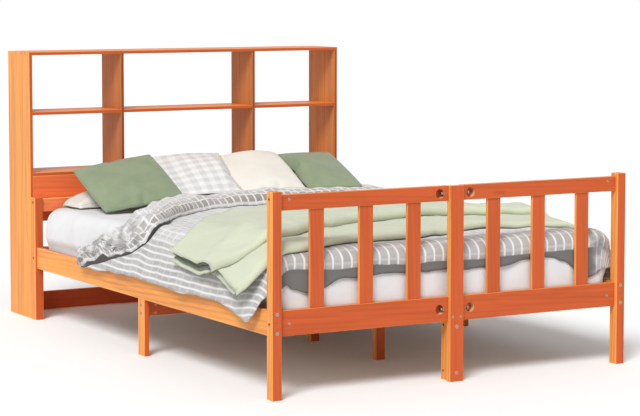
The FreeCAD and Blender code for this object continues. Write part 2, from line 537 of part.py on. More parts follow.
for hand, sign in HANDS:
    divider = timber(f"bookcase_divider_{hand}", "Z", ("shelf_thick", "divider_depth", DIVIDER_TALL),
                     (f"{sign}*{DIVIDER_X} - shelf_thick/2", CASE, "low_shelf_top - housing"))
    high = "mid_shelf_top - shelf_thick - low_shelf_top + housing - fit/2"
    for far in (None, "shelf_thick"):
        mortise(divider, "X", ("-ease", high), "divider_depth + ease*2", "shelf_thick + fit",
                "housing + fit", far)
OUTER_RUN = f"({CASE_IN} - {DIVIDER_X} - shelf_thick/2 + housing*2)"
INNER_RUN = f"({DIVIDER_X}*2 - shelf_thick + housing*2)"
for name, run, start in (("left", OUTER_RUN, f"-{CASE_IN} - housing"), ("middle", INNER_RUN, f"-{INNER_RUN}/2"),
                         ("right", OUTER_RUN, f"{DIVIDER_X} + shelf_thick/2 - housing")):
    timber(f"bookcase_shelf_{name}", "X", (run, "divider_depth", "shelf_thick"),
           (start, CASE, "mid_shelf_top - shelf_thick"))
panel = timber("bookcase_front_panel", "X", (LOW_RUN, "shelf_thick", "panel_height"),
               (f"-{LOW_RUN}/2", CASE, "low_shelf_top - shelf_thick - panel_height"))
timber("bookcase_stretcher", "X", (LOW_RUN, "shelf_thick", "stretcher_height"),
       (f"-{LOW_RUN}/2", f"{REAR} - shelf_thick", "0"))
PANEL_SCREW_X = "((bed_width/2 - case_side_thick - screw_head_radius*2))"
PANEL_LEVELS = ("(head_post_height - end_bolt_drop*2.5)", "(head_post_height - end_bolt_drop*4.5)")
for hand, sign in HANDS:
    post = doc.getObject(f"head_post_{hand}")
    line = f"(post_width/2 + {sign}*({PANEL_SCREW_X} - {SIDE} + post_width/2))"
    screw_x = f"{LOW_RUN}/2 + {sign}*{PANEL_SCREW_X}"
    spots = [(screw_x, f"{high} - low_shelf_top + shelf_thick + panel_height") for high in PANEL_LEVELS]
    bore(panel, "Y", spots, SCREW_HOLE)
    bore(panel, "Y", spots, SCREW_SEAT_HOLE, "screw_seat", "shelf_thick")
    bore(post, "Y", [(line, high) for high in PANEL_LEVELS], SCREW_HOLE,
         "screw_length + screw_seat - shelf_thick + fit*2", "head_post_depth")
    for high in PANEL_LEVELS:
        screws.append(((f"{sign}*{PANEL_SCREW_X}", f"{CASE} + shelf_thick - screw_seat", high), TO_FRONT))


def fastener(label, head_radius, head_thick, shank_radius, length, socket):
    """A headed fastener on its own axis: the head's underside at the origin, the shank along +Z."""
    head = doc.addObject("Part::Cylinder", label + "_head")
    head.setExpression("Radius", bound(head_radius))
    head.setExpression("Height", bound(head_thick))
    head.setExpression("Placement.Base.z", bound(f"-({head_thick})"))
    shank = doc.addObject("Part::Cylinder", label + "_shank")
    shank.setExpression("Radius", bound(shank_radius))
    shank.setExpression("Height", bound(length))
    whole = doc.addObject("Part::Fuse", label + "_whole")
    whole.Base, whole.Tool = head, shank
    key = doc.addObject("Part::Prism", label + "_key")
    key.Polygon = 6
    key.setExpression("Circumradius", bound(socket))
    key.setExpression("Height", bound(f"{head_thick}*2/3"))
    key.setExpression("Placement.Base.z", bound(f"-({head_thick})"))
    cut = doc.addObject("Part::Cut", label)
    cut.Base, cut.Tool = whole, key
    return cut


def rod(label, radius, length):
    piece = doc.addObject("Part::Cylinder", label)
    piece.setExpression("Radius", bound(radius))
    piece.setExpression("Height", bound(length))
    return piece


# Hardware, each kind drawn once on its own axis and set where the holes are.
bolt = fastener("bolt", "bolt_head_radius", "bolt_head_thick", "bolt_radius", "bolt_length", "socket_radius")
screw = fastener("screw", "screw_head_radius", "screw_head_thick", "screw_radius", "screw_length",
                 "screw_radius")
dowel = rod("dowel", "dowel_radius", "dowel_length")
centre_rod = rod("centre_rod", "rod_radius", "rod_length")
nut_body = rod("nut_body", "nut_radius", "nut_length")
nut_bore = rod("nut_bore", "bolt_radius + contact", "nut_radius*4")
nut_bore.Placement = Placement(Vector(0, 0, 0), TO_RIGHT)
nut_bore.setExpression("Placement.Base.x", bound("-nut_radius*2"))
nut_bore.setExpression("Placement.Base.z", bound("nut_length/2"))
nut = doc.addObject("Part::Cut", "nut")
nut.Base, nut.Tool = nut_body, nut_bore
hex_plate = rod("hex_plate", "flange_radius", "flange_thick")
hex_head = doc.addObject("Part::Prism", "hex_head")
hex_head.Polygon = 6
hex_head.setExpression("Circumradius", bound("hex_radius"))
hex_head.setExpression("Height", bound("hex_thick"))
hex_whole = doc.addObject("Part::Fuse", "hex_whole")
hex_whole.Base, hex_whole.Tool = hex_plate, hex_head
hex_bore = rod("hex_bore", "rod_radius + contact", "hex_thick")
hex_nut = doc.addObject("Part::Cut", "hex_nut")
hex_nut.Base, hex_nut.Tool = hex_whole, hex_bore
doc.recompute()
group("connector_bolts", bolt.Shape, bolts)
group("barrel_nuts", nut.Shape, nuts)
group("dowels", dowel.Shape, dowels)
group("centre_rods", centre_rod.Shape, rods)
group("rod_nuts", hex_nut.Shape, hexes)
group("wood_screws", screw.Shape, screws)

# Mattress: a padded block with rounded edges.
MATTRESS_PLAY = "(frame_reach - rail_setback - end_rail_thick - mattress_length)"
MATTRESS_Y = f"({FOOT} + rail_setback + end_rail_thick + {MATTRESS_PLAY}/2)"
mattress = doc.addObject("PartDesign::Body", "mattress")
mattress.Label = "mattress"
outline = sketch_on(mattress, "Z")
draw_rectangle(outline, "mattress_width", "mattress_length")
block = mattress.newObject("PartDesign::Pad", "block")
block.Profile = outline
block.setExpression("Length", bound("mattress_thick - soft_clear"))
mattress.recompute(True)
soft_edge = mattress.newObject("PartDesign::Fillet", "soft_edge")
soft_edge.Base = (block, [f"Edge{turn}" for turn in range(1, len(block.Shape.Edges) + 1)])
soft_edge.setExpression("Radius", bound("mattress_round"))
for letter, part in zip("xyz", ("-mattress_width/2", MATTRESS_Y, f"{SEAT} + soft_clear")):
    mattress.setExpression(f"Placement.Base.{letter}", bound(part))
NODES.append(mattress)
LIE = f"({SEAT} + mattress_thick)"


def chain(points):
    """Edges through a list of points: a pair is a line, a triple an arc through its middle point."""
    edges = []
    for run in points:
        if len(run) == 2:
            edges.append(Part.LineSegment(run[0], run[1]).toShape())
        else:
            edges.append(Part.Arc(run[0], run[1], run[2]).toShape())
    return Part.Wire(edges)


def soft_node(label, wires, ruled):
    """A closed loft through like wires, as a node of its own."""
    held = doc.addObject("Part::Feature", label)
    held.Label = label
    held.Shape = Part.makeLoft(wires, True, ruled)
    NODES.append(held)
    return held


# The bedding lies on the mattress: flat on top, round its edges, then down the sides. A cloth is told by its
# flat distance from the bed's middle line, its place along the bed and its lift off the mattress.
lie_now = number(LIE) + number("soft_clear")
start_now = number(MATTRESS_Y)
long_now = number("mattress_length")
half_now = number("mattress_width/2")
clear_now = number("soft_clear")
round_now = number("mattress_round") + clear_now
edge_now = half_now + clear_now
rail_out = number(f"{SIDE} - side_inset") + clear_now * 4
rail_top = number(LOW_TOP) + clear_now * 4
lean = (rail_out - edge_now) / (lie_now - round_now - rail_top)
EIGHTH = math.pi / 8
TOP_SHARES = (0, 0.24, 0.48, 0.72, 0.88, 1)
SIDE_END_SHARES = (0.2, 0.4, 0.6, 0.8)
CUFF_ROUND_SHARES = (0.3, 0.35, 0.75, 0.1)
CUFF_HEM_SHARES = (
    (-1.357, 0.773), (-1.293, 0.743), (-1.236, 0.663), (-1.171, 0.583), (-1.086, 0.5005), (-1.014, 0.4755),
    (-0.946, 0.488), (-0.7, 0.598), (-0.487, 0.6755), (-0.16, 0.7305), (0.166, 0.748), (0.943, 0.748),
    (1.357, 0.758))
CUFF_WIDE_SHARES = (
    (-1.357, 0.0075), (-1.293, 0.0175), (-1.236, 0.055), (-1.171, 0.09), (-1.086, 0.1), (-1, 0.1),
    (-0.857, 0.09), (-0.571, 0.09), (-0.357, 0.1), (-0.143, 0.12), (0.166, 0.11), (0.943, 0.11), (1.171, 0.1),
    (1.357, 0.03))
UPPER_HEAD_SHARES = (
    (-1.243, 0.378), (-1.171, 0.368), (-1.086, 0.343), (-1, 0.323), (-0.914, 0.3355), (-0.757, 0.39),
    (-0.617, 0.423), (-0.343, 0.4745), (0, 0.528), (0.429, 0.568), (0.857, 0.583), (1.243, 0.573))
UPPER_FOOT_SHARES = (
    (-1.243, 0.208), (-1.171, 0.168), (-1.086, 0.098), (-1, 0.068), (-0.914, 0.083), (-0.751, 0.138),
    (-0.461, 0.2235), (-0.019, 0.308), (0.371, 0.363), (0.623, 0.366), (0.877, 0.358), (1.029, 0.328),
    (1.243, 0.298))
LOWER_FOOT_SHARES = (
    (-1.271, 0.073), (-1.171, 0.028), (-1.086, 0.0105), (-0.986, 0.0055), (-0.829, 0.013), (-0.657, 0.0655),
    (-0.501, 0.1155), (-0.294, 0.148), (0.041, 0.1895), (0.326, 0.208), (0.593, 0.213), (0.914, 0.208),
    (1.271, 0.198))


def share_at(pairs, flat):
    """Straight lines through pairs of shares: half widths across the bed, mattress lengths along it."""
    place = flat / half_now
    spans = list(zip(pairs, pairs[1:]))
    (low, start), (high, end) = next((span for span in spans if place <= span[1][0]), spans[-1])
    part = min(max((place - low) / (high - low), 0), 1)
    return start + (end - start) * part


def line_at(pairs, flat):
    return start_now + long_now * share_at(pairs, flat)


def lines_across(drops):
    """Lines that a cloth follows across the bed, from its left hem to its right one.

    Each has its flat distance from the middle, its point on the mattress and the way the lift goes there: up
    on top, turning over the edge on a polygon about the round, and out on the side, which leans over the rail."""
    middle = edge_now - round_now
    under = lie_now - round_now
    stretch = 1 / math.cos(EIGHTH)
    found = [(middle * share, middle * share, lie_now, 0, 1) for share in TOP_SHARES]
    for turn in (EIGHTH, math.pi / 2 - EIGHTH):
        out, up = stretch * math.sin(turn), stretch * math.cos(turn)
        found.append((middle + round_now * turn, middle + round_now * out, under + round_now * up, out, up))
    tilt = math.atan(lean)
    for drop in [round_now] + drops:
        down = drop - round_now
        flat = edge_now + round_now * (math.pi / 2 - 1) + down
        found.append((flat, edge_now + down * lean, lie_now - drop, math.cos(tilt), math.sin(tilt)))
    left = [(-flat, -far, high, -out, up) for flat, far, high, out, up in reversed(found[1:])]
    return left + found


def side_share(flat):
    """How far a line has turned from the top to the side, from none to one."""
    turned = (abs(flat) - edge_now + round_now) / (round_now * math.pi / 2)
    return round(min(max(turned, 0), 1), 6)


def laid(drops, profile):
    """A cloth as a solid: its closed profile of places along the bed and lifts, carried across the bed."""
    wires = []
    for flat, far, high, out, up in lines_across(drops):
        ring = [Vector(far + out * lift, along, high + up * lift) for along, lift in profile(flat)]
        wires.append(Part.makePolygon(ring + ring[:1]))
    return Part.makeLoft(wires, True, True)


def soft_shape(label, solids):
    held = doc.addObject("Part::Feature", label)
    held.Label = label
    held.Shape = Part.makeCompound(solids)
    NODES.append(held)


# Quilted cover: it bends over the foot edge, hangs over the side rails and is turned back in a thick cuff.
cover_now = number("cover_thick")
cover_top = clear_now + cover_now
post_line = number(SIDE_BACK) + clear_now * 2
hem_drop = lie_now - number(f"{LOW_TOP} - cover_hem_drop")


def cover_profile(flat):
    """From the foot hem up round the foot edge and along to the fold, then back a thickness further out."""
    ridge = line_at(CUFF_HEM_SHARES, flat) + long_now * share_at(CUFF_WIDE_SHARES, flat)
    aside = side_share(flat)
    if aside == 1:
        blunt = post_line + cover_now / 2
        steps = [clear_now + cover_now * share for share in SIDE_END_SHARES]
        return [(post_line, steps[1]), (post_line, steps[0]), (blunt, clear_now), (ridge, clear_now),
                (ridge, cover_top), (blunt, cover_top), (post_line, steps[3]), (post_line, steps[2])]
    corner = (round_now + clear_now) * math.tan(EIGHTH)
    outer = (round_now + cover_top) * math.tan(EIGHTH)
    thin = number("cover_end_thick")
    foot = post_line + thin
    full = (round_now - corner) * number("cover_corner_share")
    if aside == 0:
        thin = number("cover_foot_thick")
        foot = start_now - clear_now
        full = 0
    low = corner - round_now + full
    bottom = low - clear_now
    if abs(flat) < half_now * number("foot_hang_share"):
        bottom = -number("cover_foot_drop")
    bend = start_now + round_now - full
    return [(foot, bottom), (foot, low), (bend - corner, clear_now), (ridge, clear_now), (ridge, cover_top),
            (bend - outer, cover_top), (foot - thin, low), (foot - thin, bottom)]


def cuff_profile(flat):
    """A rounded front at the hem, a flat back and the round of the fold."""
    hem = line_at(CUFF_HEM_SHARES, flat)
    wide = long_now * share_at(CUFF_WIDE_SHARES, flat)
    full = number("cuff_thick") + (number("cuff_side_thick") - number("cuff_thick")) * side_share(flat)
    full = min(full, wide * number("cuff_slope_share"))
    front = min(number("cuff_front"), wide * number("cuff_front_share"))
    low = cover_top + clear_now
    fold = hem + wide
    swell, brow, rise, lip = CUFF_ROUND_SHARES
    return [(hem, low), (fold, low), (fold + full * swell, low + full / 2), (fold, low + full),
            (hem + front, low + full), (hem + front * brow, low + full * rise), (hem, low + full * lip)]


cuff_drop = hem_drop - number("cuff_hem_rise")
soft_shape("check_cover", [laid([hem_drop], cover_profile), laid([cuff_drop], cuff_profile)])

# Throw folded in two layers: the lower one reaches the foot, the upper one lies on it further up the bed.
layer_low = cover_top + clear_now
throw_edge = number("throw_edge")


def layer_thick(name, flat):
    return number(name) + (number("throw_side_thick") - number(name)) * side_share(flat)


def lower_profile(flat):
    foot = line_at(LOWER_FOOT_SHARES, flat)
    head = foot + long_now * number("lower_wide_share")
    full = layer_thick("lower_thick", flat)
    half, top = layer_low + full / 2, layer_low + full
    return [(foot + throw_edge, layer_low), (head - throw_edge, layer_low), (head, half),
            (head - throw_edge, top), (foot + throw_edge, top), (foot, half)]


def upper_profile(flat):
    foot = line_at(UPPER_FOOT_SHARES, flat)
    head = line_at(UPPER_HEAD_SHARES, flat)
    step = line_at(LOWER_FOOT_SHARES, flat) + long_now * number("lower_wide_share") + clear_now
    full = layer_thick("upper_thick", flat)
    high = layer_low + layer_thick("lower_thick", flat) + clear_now
    run = number("throw_step")
    return [(foot + throw_edge, high), (step, high), (step + run, layer_low), (head - throw_edge, layer_low),
            (head, layer_low + full / 2), (head - throw_edge, layer_low + full), (step + run, layer_low + full),
            (step, high + full), (foot + throw_edge, high + full), (foot, high + full / 2)]


lower_layer = laid([number("lower_drop")], lower_profile)
soft_shape("green_throw", [lower_layer, laid([number("upper_drop")], upper_profile)])


def cushion(label, middle, turn, wide, tall, thick):
    """A filled cushion: lens sections along its width, thin at the ends, full at the crown, edges drawn in."""
    edge = number("cushion_edge_share")
    draw = number("cushion_draw_share")
    wires = []
    for share in (-1, -0.94, -0.7, -0.35, 0, 0.35, 0.7, 0.94, 1):
        full = max(edge, math.cos(share * math.pi / 2) ** 0.6)
        half = tall / 2 * (1 - draw * (1 - share ** 2))
        plump = thick / 2 * full
        ends = Vector(wide / 2 * share, -half, 0), Vector(wide / 2 * share, half, 0)
        wires.append(chain([(ends[0], Vector(wide / 2 * share, 0, plump), ends[1]),
                            (ends[1], Vector(wide / 2 * share, 0, -plump), ends[0])]))
    held = soft_node(label, wires, False)
    held.Placement = Placement(middle, turn)
    return held


# Sleeping pillows along the head, and four scatter cushions: their lower edge lies on the cuff, the left one's
# outer corner on the mattress.
pillow_y = number(f"{MATTRESS_Y} + mattress_length - pillow_depth/2") - clear_now * 4
pillow_z = lie_now + number("pillow_height/2") + clear_now
pillow_size = [number(f"pillow_{way}") for way in ("length", "depth", "height")]
for hand, sign in HANDS:
    middle = Vector(sign * number("pillow_length/2 + pillow_gap/2"), pillow_y, pillow_z)
    cushion(f"pillow_{hand}", middle, Rotation(), *pillow_size)
cuff_top = lie_now + cover_top + clear_now + number("cuff_thick")
for name in ("green_left", "gingham", "cream", "green_right"):
    reach = start_now + number(f"{name}_reach_share") * long_now
    middle = Vector(number(f"{name}_line_share*bed_width"), reach, cuff_top)
    yaw, lean_back, tilt = (number(f"{name}_{way}_angle") for way in ("yaw", "lean", "tilt"))
    turn = Rotation(Vector(0, 0, 1), yaw) * Rotation(Vector(0, 1, 0), -tilt)
    turn = turn * Rotation(Vector(1, 0, 0), lean_back)
    wide = number(f"{name}_wide_share*bed_width")
    held = cushion(f"cushion_{name}", middle, turn, wide, number(f"{name}_tall"), number("cushion_thick"))
    rest = lie_now if tilt else cuff_top
    lowest = held.Shape.optimalBoundingBox(False, False).ZMin
    held.Placement = Placement(middle + Vector(0, 0, rest + clear_now - lowest), turn)

doc.recompute()
for part in doc.Objects:
    if any(word in part.State for word in ("Invalid", "Error")):
        raise RuntimeError(f"{part.Name} did not build: {part.State}")
os.makedirs("parts", exist_ok=True)
for node in NODES:
    if node.Shape.isNull() or not node.Shape.isValid():
        raise RuntimeError(f"{node.Label} has no sound shape")
    node.Shape.exportStep(f"parts/{node.Label}.step")
print(len(NODES), "nodes")
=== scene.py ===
import math
from functools import partial

import bpy
import numpy as np
from mathutils import Matrix, Vector


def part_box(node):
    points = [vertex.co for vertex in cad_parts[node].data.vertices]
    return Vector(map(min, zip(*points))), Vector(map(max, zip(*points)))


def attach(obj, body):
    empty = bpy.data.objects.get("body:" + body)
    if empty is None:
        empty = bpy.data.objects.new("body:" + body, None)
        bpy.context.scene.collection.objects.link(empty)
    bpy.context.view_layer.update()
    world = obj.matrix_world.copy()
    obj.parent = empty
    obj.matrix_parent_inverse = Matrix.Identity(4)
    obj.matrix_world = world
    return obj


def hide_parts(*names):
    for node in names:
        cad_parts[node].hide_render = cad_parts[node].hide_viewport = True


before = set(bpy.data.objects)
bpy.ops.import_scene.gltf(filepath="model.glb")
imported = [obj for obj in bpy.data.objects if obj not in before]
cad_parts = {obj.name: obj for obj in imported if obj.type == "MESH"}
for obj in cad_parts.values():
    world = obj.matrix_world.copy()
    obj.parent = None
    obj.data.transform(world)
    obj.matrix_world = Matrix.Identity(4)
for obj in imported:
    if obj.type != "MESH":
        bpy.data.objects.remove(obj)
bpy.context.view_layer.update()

bl_info = {
    "name": "Pine bed with bookcase",
    "version": (1, 0, 0),
    "blender": (4, 5, 0),
    "location": "View3D > Sidebar > Bed",
    "description": "Finishes a pine double bed: stained wood, steel fittings, mattress and bedding",
    "category": "Object",
}


def colour(name, description, default):
    """A colour in linear light, for a property group."""
    return bpy.props.FloatVectorProperty(name=name, description=description, default=default,
                                         subtype="COLOR", size=3, min=0.0, max=1.0)


def length(name, description, default):
    """A length in metres, for a property group."""
    return bpy.props.FloatProperty(name=name, description=description, default=default,
                                   min=0.0, unit="LENGTH")


class BedColours(bpy.types.PropertyGroup):
    """Colours of the wood and the cloth, in linear light."""
    # pine_shaded_face and pine_lit_side are one stain painted in shade and in light: by the way a face
    # points, faces to the sides and in part the tops take the lit tone.
    pine_shaded_face: colour("Pine face", "Stained pine on faces to the foot and the head", (0.60, 0.105, 0.026))
    pine_lit_side: colour("Pine side", "Stained pine on faces towards the sides", (0.93, 0.385, 0.085))
    pine_dark: colour("Pine late wood", "Darker lines of the grain and the knots", (0.33, 0.065, 0.016))
    pine_raw: colour("Bare pine", "Untreated pine of the slats and in the bores", (0.72, 0.50, 0.29))
    steel: colour("Steel", "Plated bolts and nuts", (0.42, 0.37, 0.33))
    sheet: colour("Sheet", "Fitted sheet on the mattress", (0.72, 0.72, 0.73))
    cream: colour("Cream", "Cream cotton of the pillows and one cushion", (0.74, 0.71, 0.64))
    gingham: colour("Gingham", "White ground of the gingham cushion", (0.75, 0.74, 0.72))
    sage: colour("Sage", "Green cotton of two cushions", (0.235, 0.292, 0.174))
    throw: colour("Throw", "Light green of the folded throw", (0.58, 0.62, 0.46))
    # throw_shade is painted shade: the dark green put in the throw's folds and on its inner layer.
    throw_shade: colour("Throw reverse", "Dark green inside the throw's folds", (0.09, 0.115, 0.055))
    check_ground: colour("Check ground", "Grey squares of the cover", (0.57, 0.56, 0.55))
    check_line: colour("Check line", "White lines of the cover", (0.72, 0.715, 0.71))
    # check_shaded_side is the check's grey painted darker as shade where the cover hangs over the sides and
    # the foot.
    check_shaded_side: colour("Check side", "Grey of the cover where it hangs over the edges", (0.36, 0.35, 0.34))
    check_band: colour("Check band", "Darker squares along the cover's turned edge", (0.27, 0.24, 0.22))
    # shaded_reverse is the cover's reverse painted dark as shade: under the foot hem, under the turned edge
    # and in the creases of the crushed corners.
    shaded_reverse: colour("Lining", "Grey reverse of the cover, seen under its hems", (0.088, 0.086, 0.083))


class BedSizes(bpy.types.PropertyGroup):
    """Sizes of the patterns and of the fringe."""
    check_pitch: length("Check pitch", "Distance between the lines that run along the cover", 0.0375)
    check_rows: length("Check rows", "Distance between the lines that run across the cover", 0.055)
    band_rows: length("Band rows", "Height of a row of squares in the turned edge", 0.046)
    check_fall: length("Check fall", "Distance between the lines where the cover hangs over the sides", 0.024)
    gingham_pitch: length("Gingham pitch", "Distance between the stripes of the gingham", 0.048)
    fringe_length: length("Fringe length", "Length of the threads on the gingham cushion's sides", 0.011)


def palette():
    return bpy.context.scene.bed_colours


def sizes():
    return bpy.context.scene.bed_sizes


# Materials. Each is a small net of nodes, drawn through these helpers.
class Net:
    """A material under construction: node() adds a node, wire() joins two sockets."""

    def __init__(self, name):
        self.material = bpy.data.materials.new(name)
        self.material.use_nodes = True
        self.tree = self.material.node_tree
        self.shader = self.tree.nodes["Principled BSDF"]

    def node(self, kind, **settings):
        made = self.tree.nodes.new(kind)
        for key, value in settings.items():
            setattr(made, key, value)
        return made

    def wire(self, out, into):
        self.tree.links.new(out, into)

    def feed(self, socket, value):
        if isinstance(value, bpy.types.NodeSocket):
            self.wire(value, socket)
        else:
            socket.default_value = value

    def math(self, operation, first, second=0.0, clamp=False):
        made = self.node("ShaderNodeMath", operation=operation, use_clamp=clamp)
        self.feed(made.inputs[0], first)
        self.feed(made.inputs[1], second)
        return made.outputs[0]

    def times(self, first, second):
        return self.math("MULTIPLY", first, second)

    def ramp(self, value, low, high, start=0.0, end=1.0):
        """Smooth step from `start` where the value is `low` to `end` where it is `high`."""
        made = self.node("ShaderNodeMapRange", interpolation_type="SMOOTHSTEP")
        for socket, part in zip(made.inputs, (value, low, high, start, end)):
            self.feed(socket, part)
        return made.outputs[0]

    def mix(self, share, first, second):
        """Blend of two colours. The node's colour sockets are 6 and 7, and 2 is its colour output."""
        made = self.node("ShaderNodeMix", data_type="RGBA")
        self.feed(made.inputs[0], share)
        for socket, part in ((made.inputs[6], first), (made.inputs[7], second)):
            linked = isinstance(part, bpy.types.NodeSocket)
            self.feed(socket, part if linked else (*part, 1.0))
        return made.outputs[2]

    def place(self, source="Object", shift=(0, 0, 0), scale=(1, 1, 1)):
        coords = self.node("ShaderNodeTexCoord")
        mapping = self.node("ShaderNodeMapping")
        self.wire(coords.outputs[source], mapping.inputs["Vector"])
        mapping.inputs["Location"].default_value = shift
        mapping.inputs["Scale"].default_value = scale
        return mapping.outputs["Vector"]

    def split(self, vector):
        made = self.node("ShaderNodeSeparateXYZ")
        self.wire(vector, made.inputs[0])
        return made.outputs

    def mark(self):
        """The mark `edge` that surface() leaves on a piece's points."""
        return self.node("ShaderNodeAttribute", attribute_name="edge").outputs["Fac"]

    def noise(self, vector, scale, detail, rough=0.55, bend=0.0):
        made = self.node("ShaderNodeTexNoise")
        self.wire(vector, made.inputs["Vector"])
        settings = {"Scale": scale, "Detail": detail, "Roughness": rough, "Distortion": bend}
        for key, value in settings.items():
            made.inputs[key].default_value = value
        return made.outputs["Fac"]

    def bump(self, height, strength, distance):
        made = self.node("ShaderNodeBump")
        self.wire(height, made.inputs["Height"])
        made.inputs["Strength"].default_value = strength
        made.inputs["Distance"].default_value = distance
        self.wire(made.outputs["Normal"], self.shader.inputs["Normal"])

    def paint(self, tone):
        self.wire(tone, self.shader.inputs["Base Color"])

    def finish(self, roughness, **constants):
        self.feed(self.shader.inputs["Roughness"], roughness)
        for key, value in constants.items():
            self.shader.inputs[key.replace("_", " ")].default_value = value
        return self.material


# A stain, and the painted light and shade of single boards, act most on blue and least on red; these are
# the powers on red, green and blue.
STAIN_AND_SHADE_POWERS = (1.0, 1.35, 2.0)
BRIGHTEST = 0.95
LATE_DEPTH = 0.32
BARE_LATE_DEPTH = 0.3
BARE_DARK = (0.45, 0.26, 0.12)
WAVE = {"Scale": 36.0, "Distortion": 6.0, "Detail": 2.0, "Detail Scale": 0.5, "Detail Roughness": 0.5}


def pine(name, axis, seed, stain_and_shade=1.0):
    """Planed pine with the grain along an axis: late-wood lines, streaks, knots and fine fibres.

    The lines are a wave across the grain, bent by noise that is long along it; knots are the middles of
    stretched Voronoi cells.  Painted light: faces to the sides, and the tops in part, take the lighter of the
    two tones, as if lit from the left and above; rounded edges are a little lighter, and the walls of bored
    holes are bare.  A factor above 1 paints the board lighter and one below 1 darker, as painted light and
    shade, and at 0 the wood is bare."""
    net = Net(name)
    mix, ramp, times = net.mix, net.ramp, net.times
    hue = palette()
    shift = (seed * 1.37 % 7, seed * 0.731 % 5, seed * 0.417 % 3)

    # Applies the stain and the board's painted light or shade to a tone.
    def stained(tone):
        return [min(part * stain_and_shade ** power, BRIGHTEST) for part, power in zip(tone, STAIN_AND_SHADE_POWERS)]

    def grain(along, across):
        return net.place(shift=shift, scale=[along if letter == axis else across for letter in "XYZ"])

    wave = net.node("ShaderNodeTexWave", wave_type="BANDS", bands_direction="DIAGONAL", wave_profile="SIN")
    net.wire(grain(0.04, 1.0), wave.inputs["Vector"])
    for key, value in WAVE.items():
        wave.inputs[key].default_value = value
    lines = wave.outputs["Fac"]
    streak = net.noise(grain(1.6, 30.0), 1.0, 5.0, 0.6, 0.3)
    hair = net.noise(grain(14.0, 520.0), 1.0, 2.0, 0.5)
    knots = net.node("ShaderNodeTexVoronoi", feature="F1")
    net.wire(grain(2.3, 9.0), knots.inputs["Vector"])
    knots.inputs["Scale"].default_value = 1.0
    pick = net.node("ShaderNodeSeparateColor")
    net.wire(knots.outputs["Color"], pick.inputs[0])
    rare = ramp(pick.outputs[0], 0.80, 0.84)
    knot = times(ramp(knots.outputs["Distance"], 0.13, 0.05), rare)
    if stain_and_shade:
        # Painted light: the lit tone on faces to the sides and in part on tops, the shaded tone on faces to
        # the foot and the head.
        facing = net.split(net.node("ShaderNodeNewGeometry").outputs["Normal"])
        aside, ahead, upward = (net.math("ABSOLUTE", part) for part in facing)
        above = times(upward, 0.55)
        light = stained(hue.pine_lit_side)
        tone = mix(net.math("MAXIMUM", aside, above), stained(hue.pine_shaded_face), light)
        dark, depth = stained(hue.pine_dark), LATE_DEPTH
        squarest = net.math("MAXIMUM", aside, net.math("MAXIMUM", ahead, upward))
        tone = mix(ramp(squarest, 0.985, 0.90, 0.0, 0.35), tone, light)
        slanted = ramp(times(aside, upward), 0.02, 0.08)
        along_bore = ramp(ahead, 0.10, 0.02)
        tone = mix(times(slanted, along_bore), tone, hue.pine_raw[:])
    else:
        tone, dark, depth = hue.pine_raw[:], BARE_DARK, BARE_LATE_DEPTH
    tone = mix(ramp(streak, 0.34, 0.66, 0.30, 0.0), tone, dark)
    late = times(ramp(lines, 0.5, 1.0), ramp(streak, 0.3, 0.7, depth, 0.2 * depth))
    tone = mix(late, tone, dark)
    tone = mix(ramp(hair, 0.35, 0.75, 0.10, 0.0), tone, dark)
    net.paint(mix(times(knot, 0.6), tone, dark))
    net.bump(net.math("ADD", times(hair, 0.6), times(lines, 0.4)), 0.25, 0.0006)
    return net.finish(ramp(streak, 0.2, 0.8, 0.40, 0.54), Specular_IOR_Level=0.22)


def steel():
    """Plated steel with a fine brush."""
    net = Net("zinc_steel")
    grain = net.noise(net.place(scale=(400, 400, 90)), 1.0, 2.0)
    net.paint(net.mix(net.ramp(grain, 0.3, 0.7, 0.0, 0.35), palette().steel[:], (0.42, 0.42, 0.43)))
    net.bump(grain, 0.1, 0.0002)
    return net.finish(net.ramp(grain, 0.2, 0.8, 0.24, 0.42), Metallic=1.0)


def tape():
    """Pale woven tape."""
    net = Net("woven_tape")
    weave = net.noise(net.place(scale=(900, 700, 900)), 1.0, 1.0)
    net.paint(net.mix(weave, (0.55, 0.54, 0.50), (0.75, 0.74, 0.70)))
    net.bump(weave, 0.3, 0.0005)
    return net.finish(0.9)


def dress(node, material):
    """Puts one material on a CAD node."""
    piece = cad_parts[node]
    for slot in piece.material_slots:
        slot.material = material
    if not piece.material_slots:
        piece.data.materials.append(material)


def sides(name):
    """The names of a left and a right piece."""
    return [f"{name}_left", f"{name}_right"]


# Painted light and shade on single boards, above 1 lighter as lit (front panel, head rails) and below 1
# darker as shaded (dividers, right side); and the boards by the way of their grain.
BOARD_LIGHT_AND_SHADE = {"bookcase_front_panel": 1.5, "head_top_rail_left": 1.9, "head_top_rail_right": 1.9,
         "bookcase_divider_left": 0.60, "bookcase_divider_right": 0.60, "bookcase_side_right": 0.72}
BOARDS = {
    "X": ["bookcase_front_panel", "bookcase_low_shelf", "bookcase_shelf_left", "bookcase_shelf_middle",
          "bookcase_shelf_right", "bookcase_stretcher", "bookcase_top", "cross_beam",
          *sides("foot_low_rail"), *sides("foot_top_rail"), *sides("head_low_rail"), *sides("head_top_rail")],
    "Y": ["centre_beam", *sides("side_rail"), *sides("slat_batten")],
    "Z": [*sides("bookcase_divider"), *sides("bookcase_side"), "centre_leg_foot", "centre_leg_head",
          "centre_leg_mid", "foot_centre_board", "foot_centre_leg", *sides("foot_post"),
          *(f"{name}_{k}" for name in sides("foot_upright") for k in (1, 2, 3)),
          "head_centre_board", *sides("head_post"), *sides("mid_leg")],
}
FITTINGS = ("connector_bolts", "barrel_nuts", "centre_rods", "rod_nuts", "wood_screws")


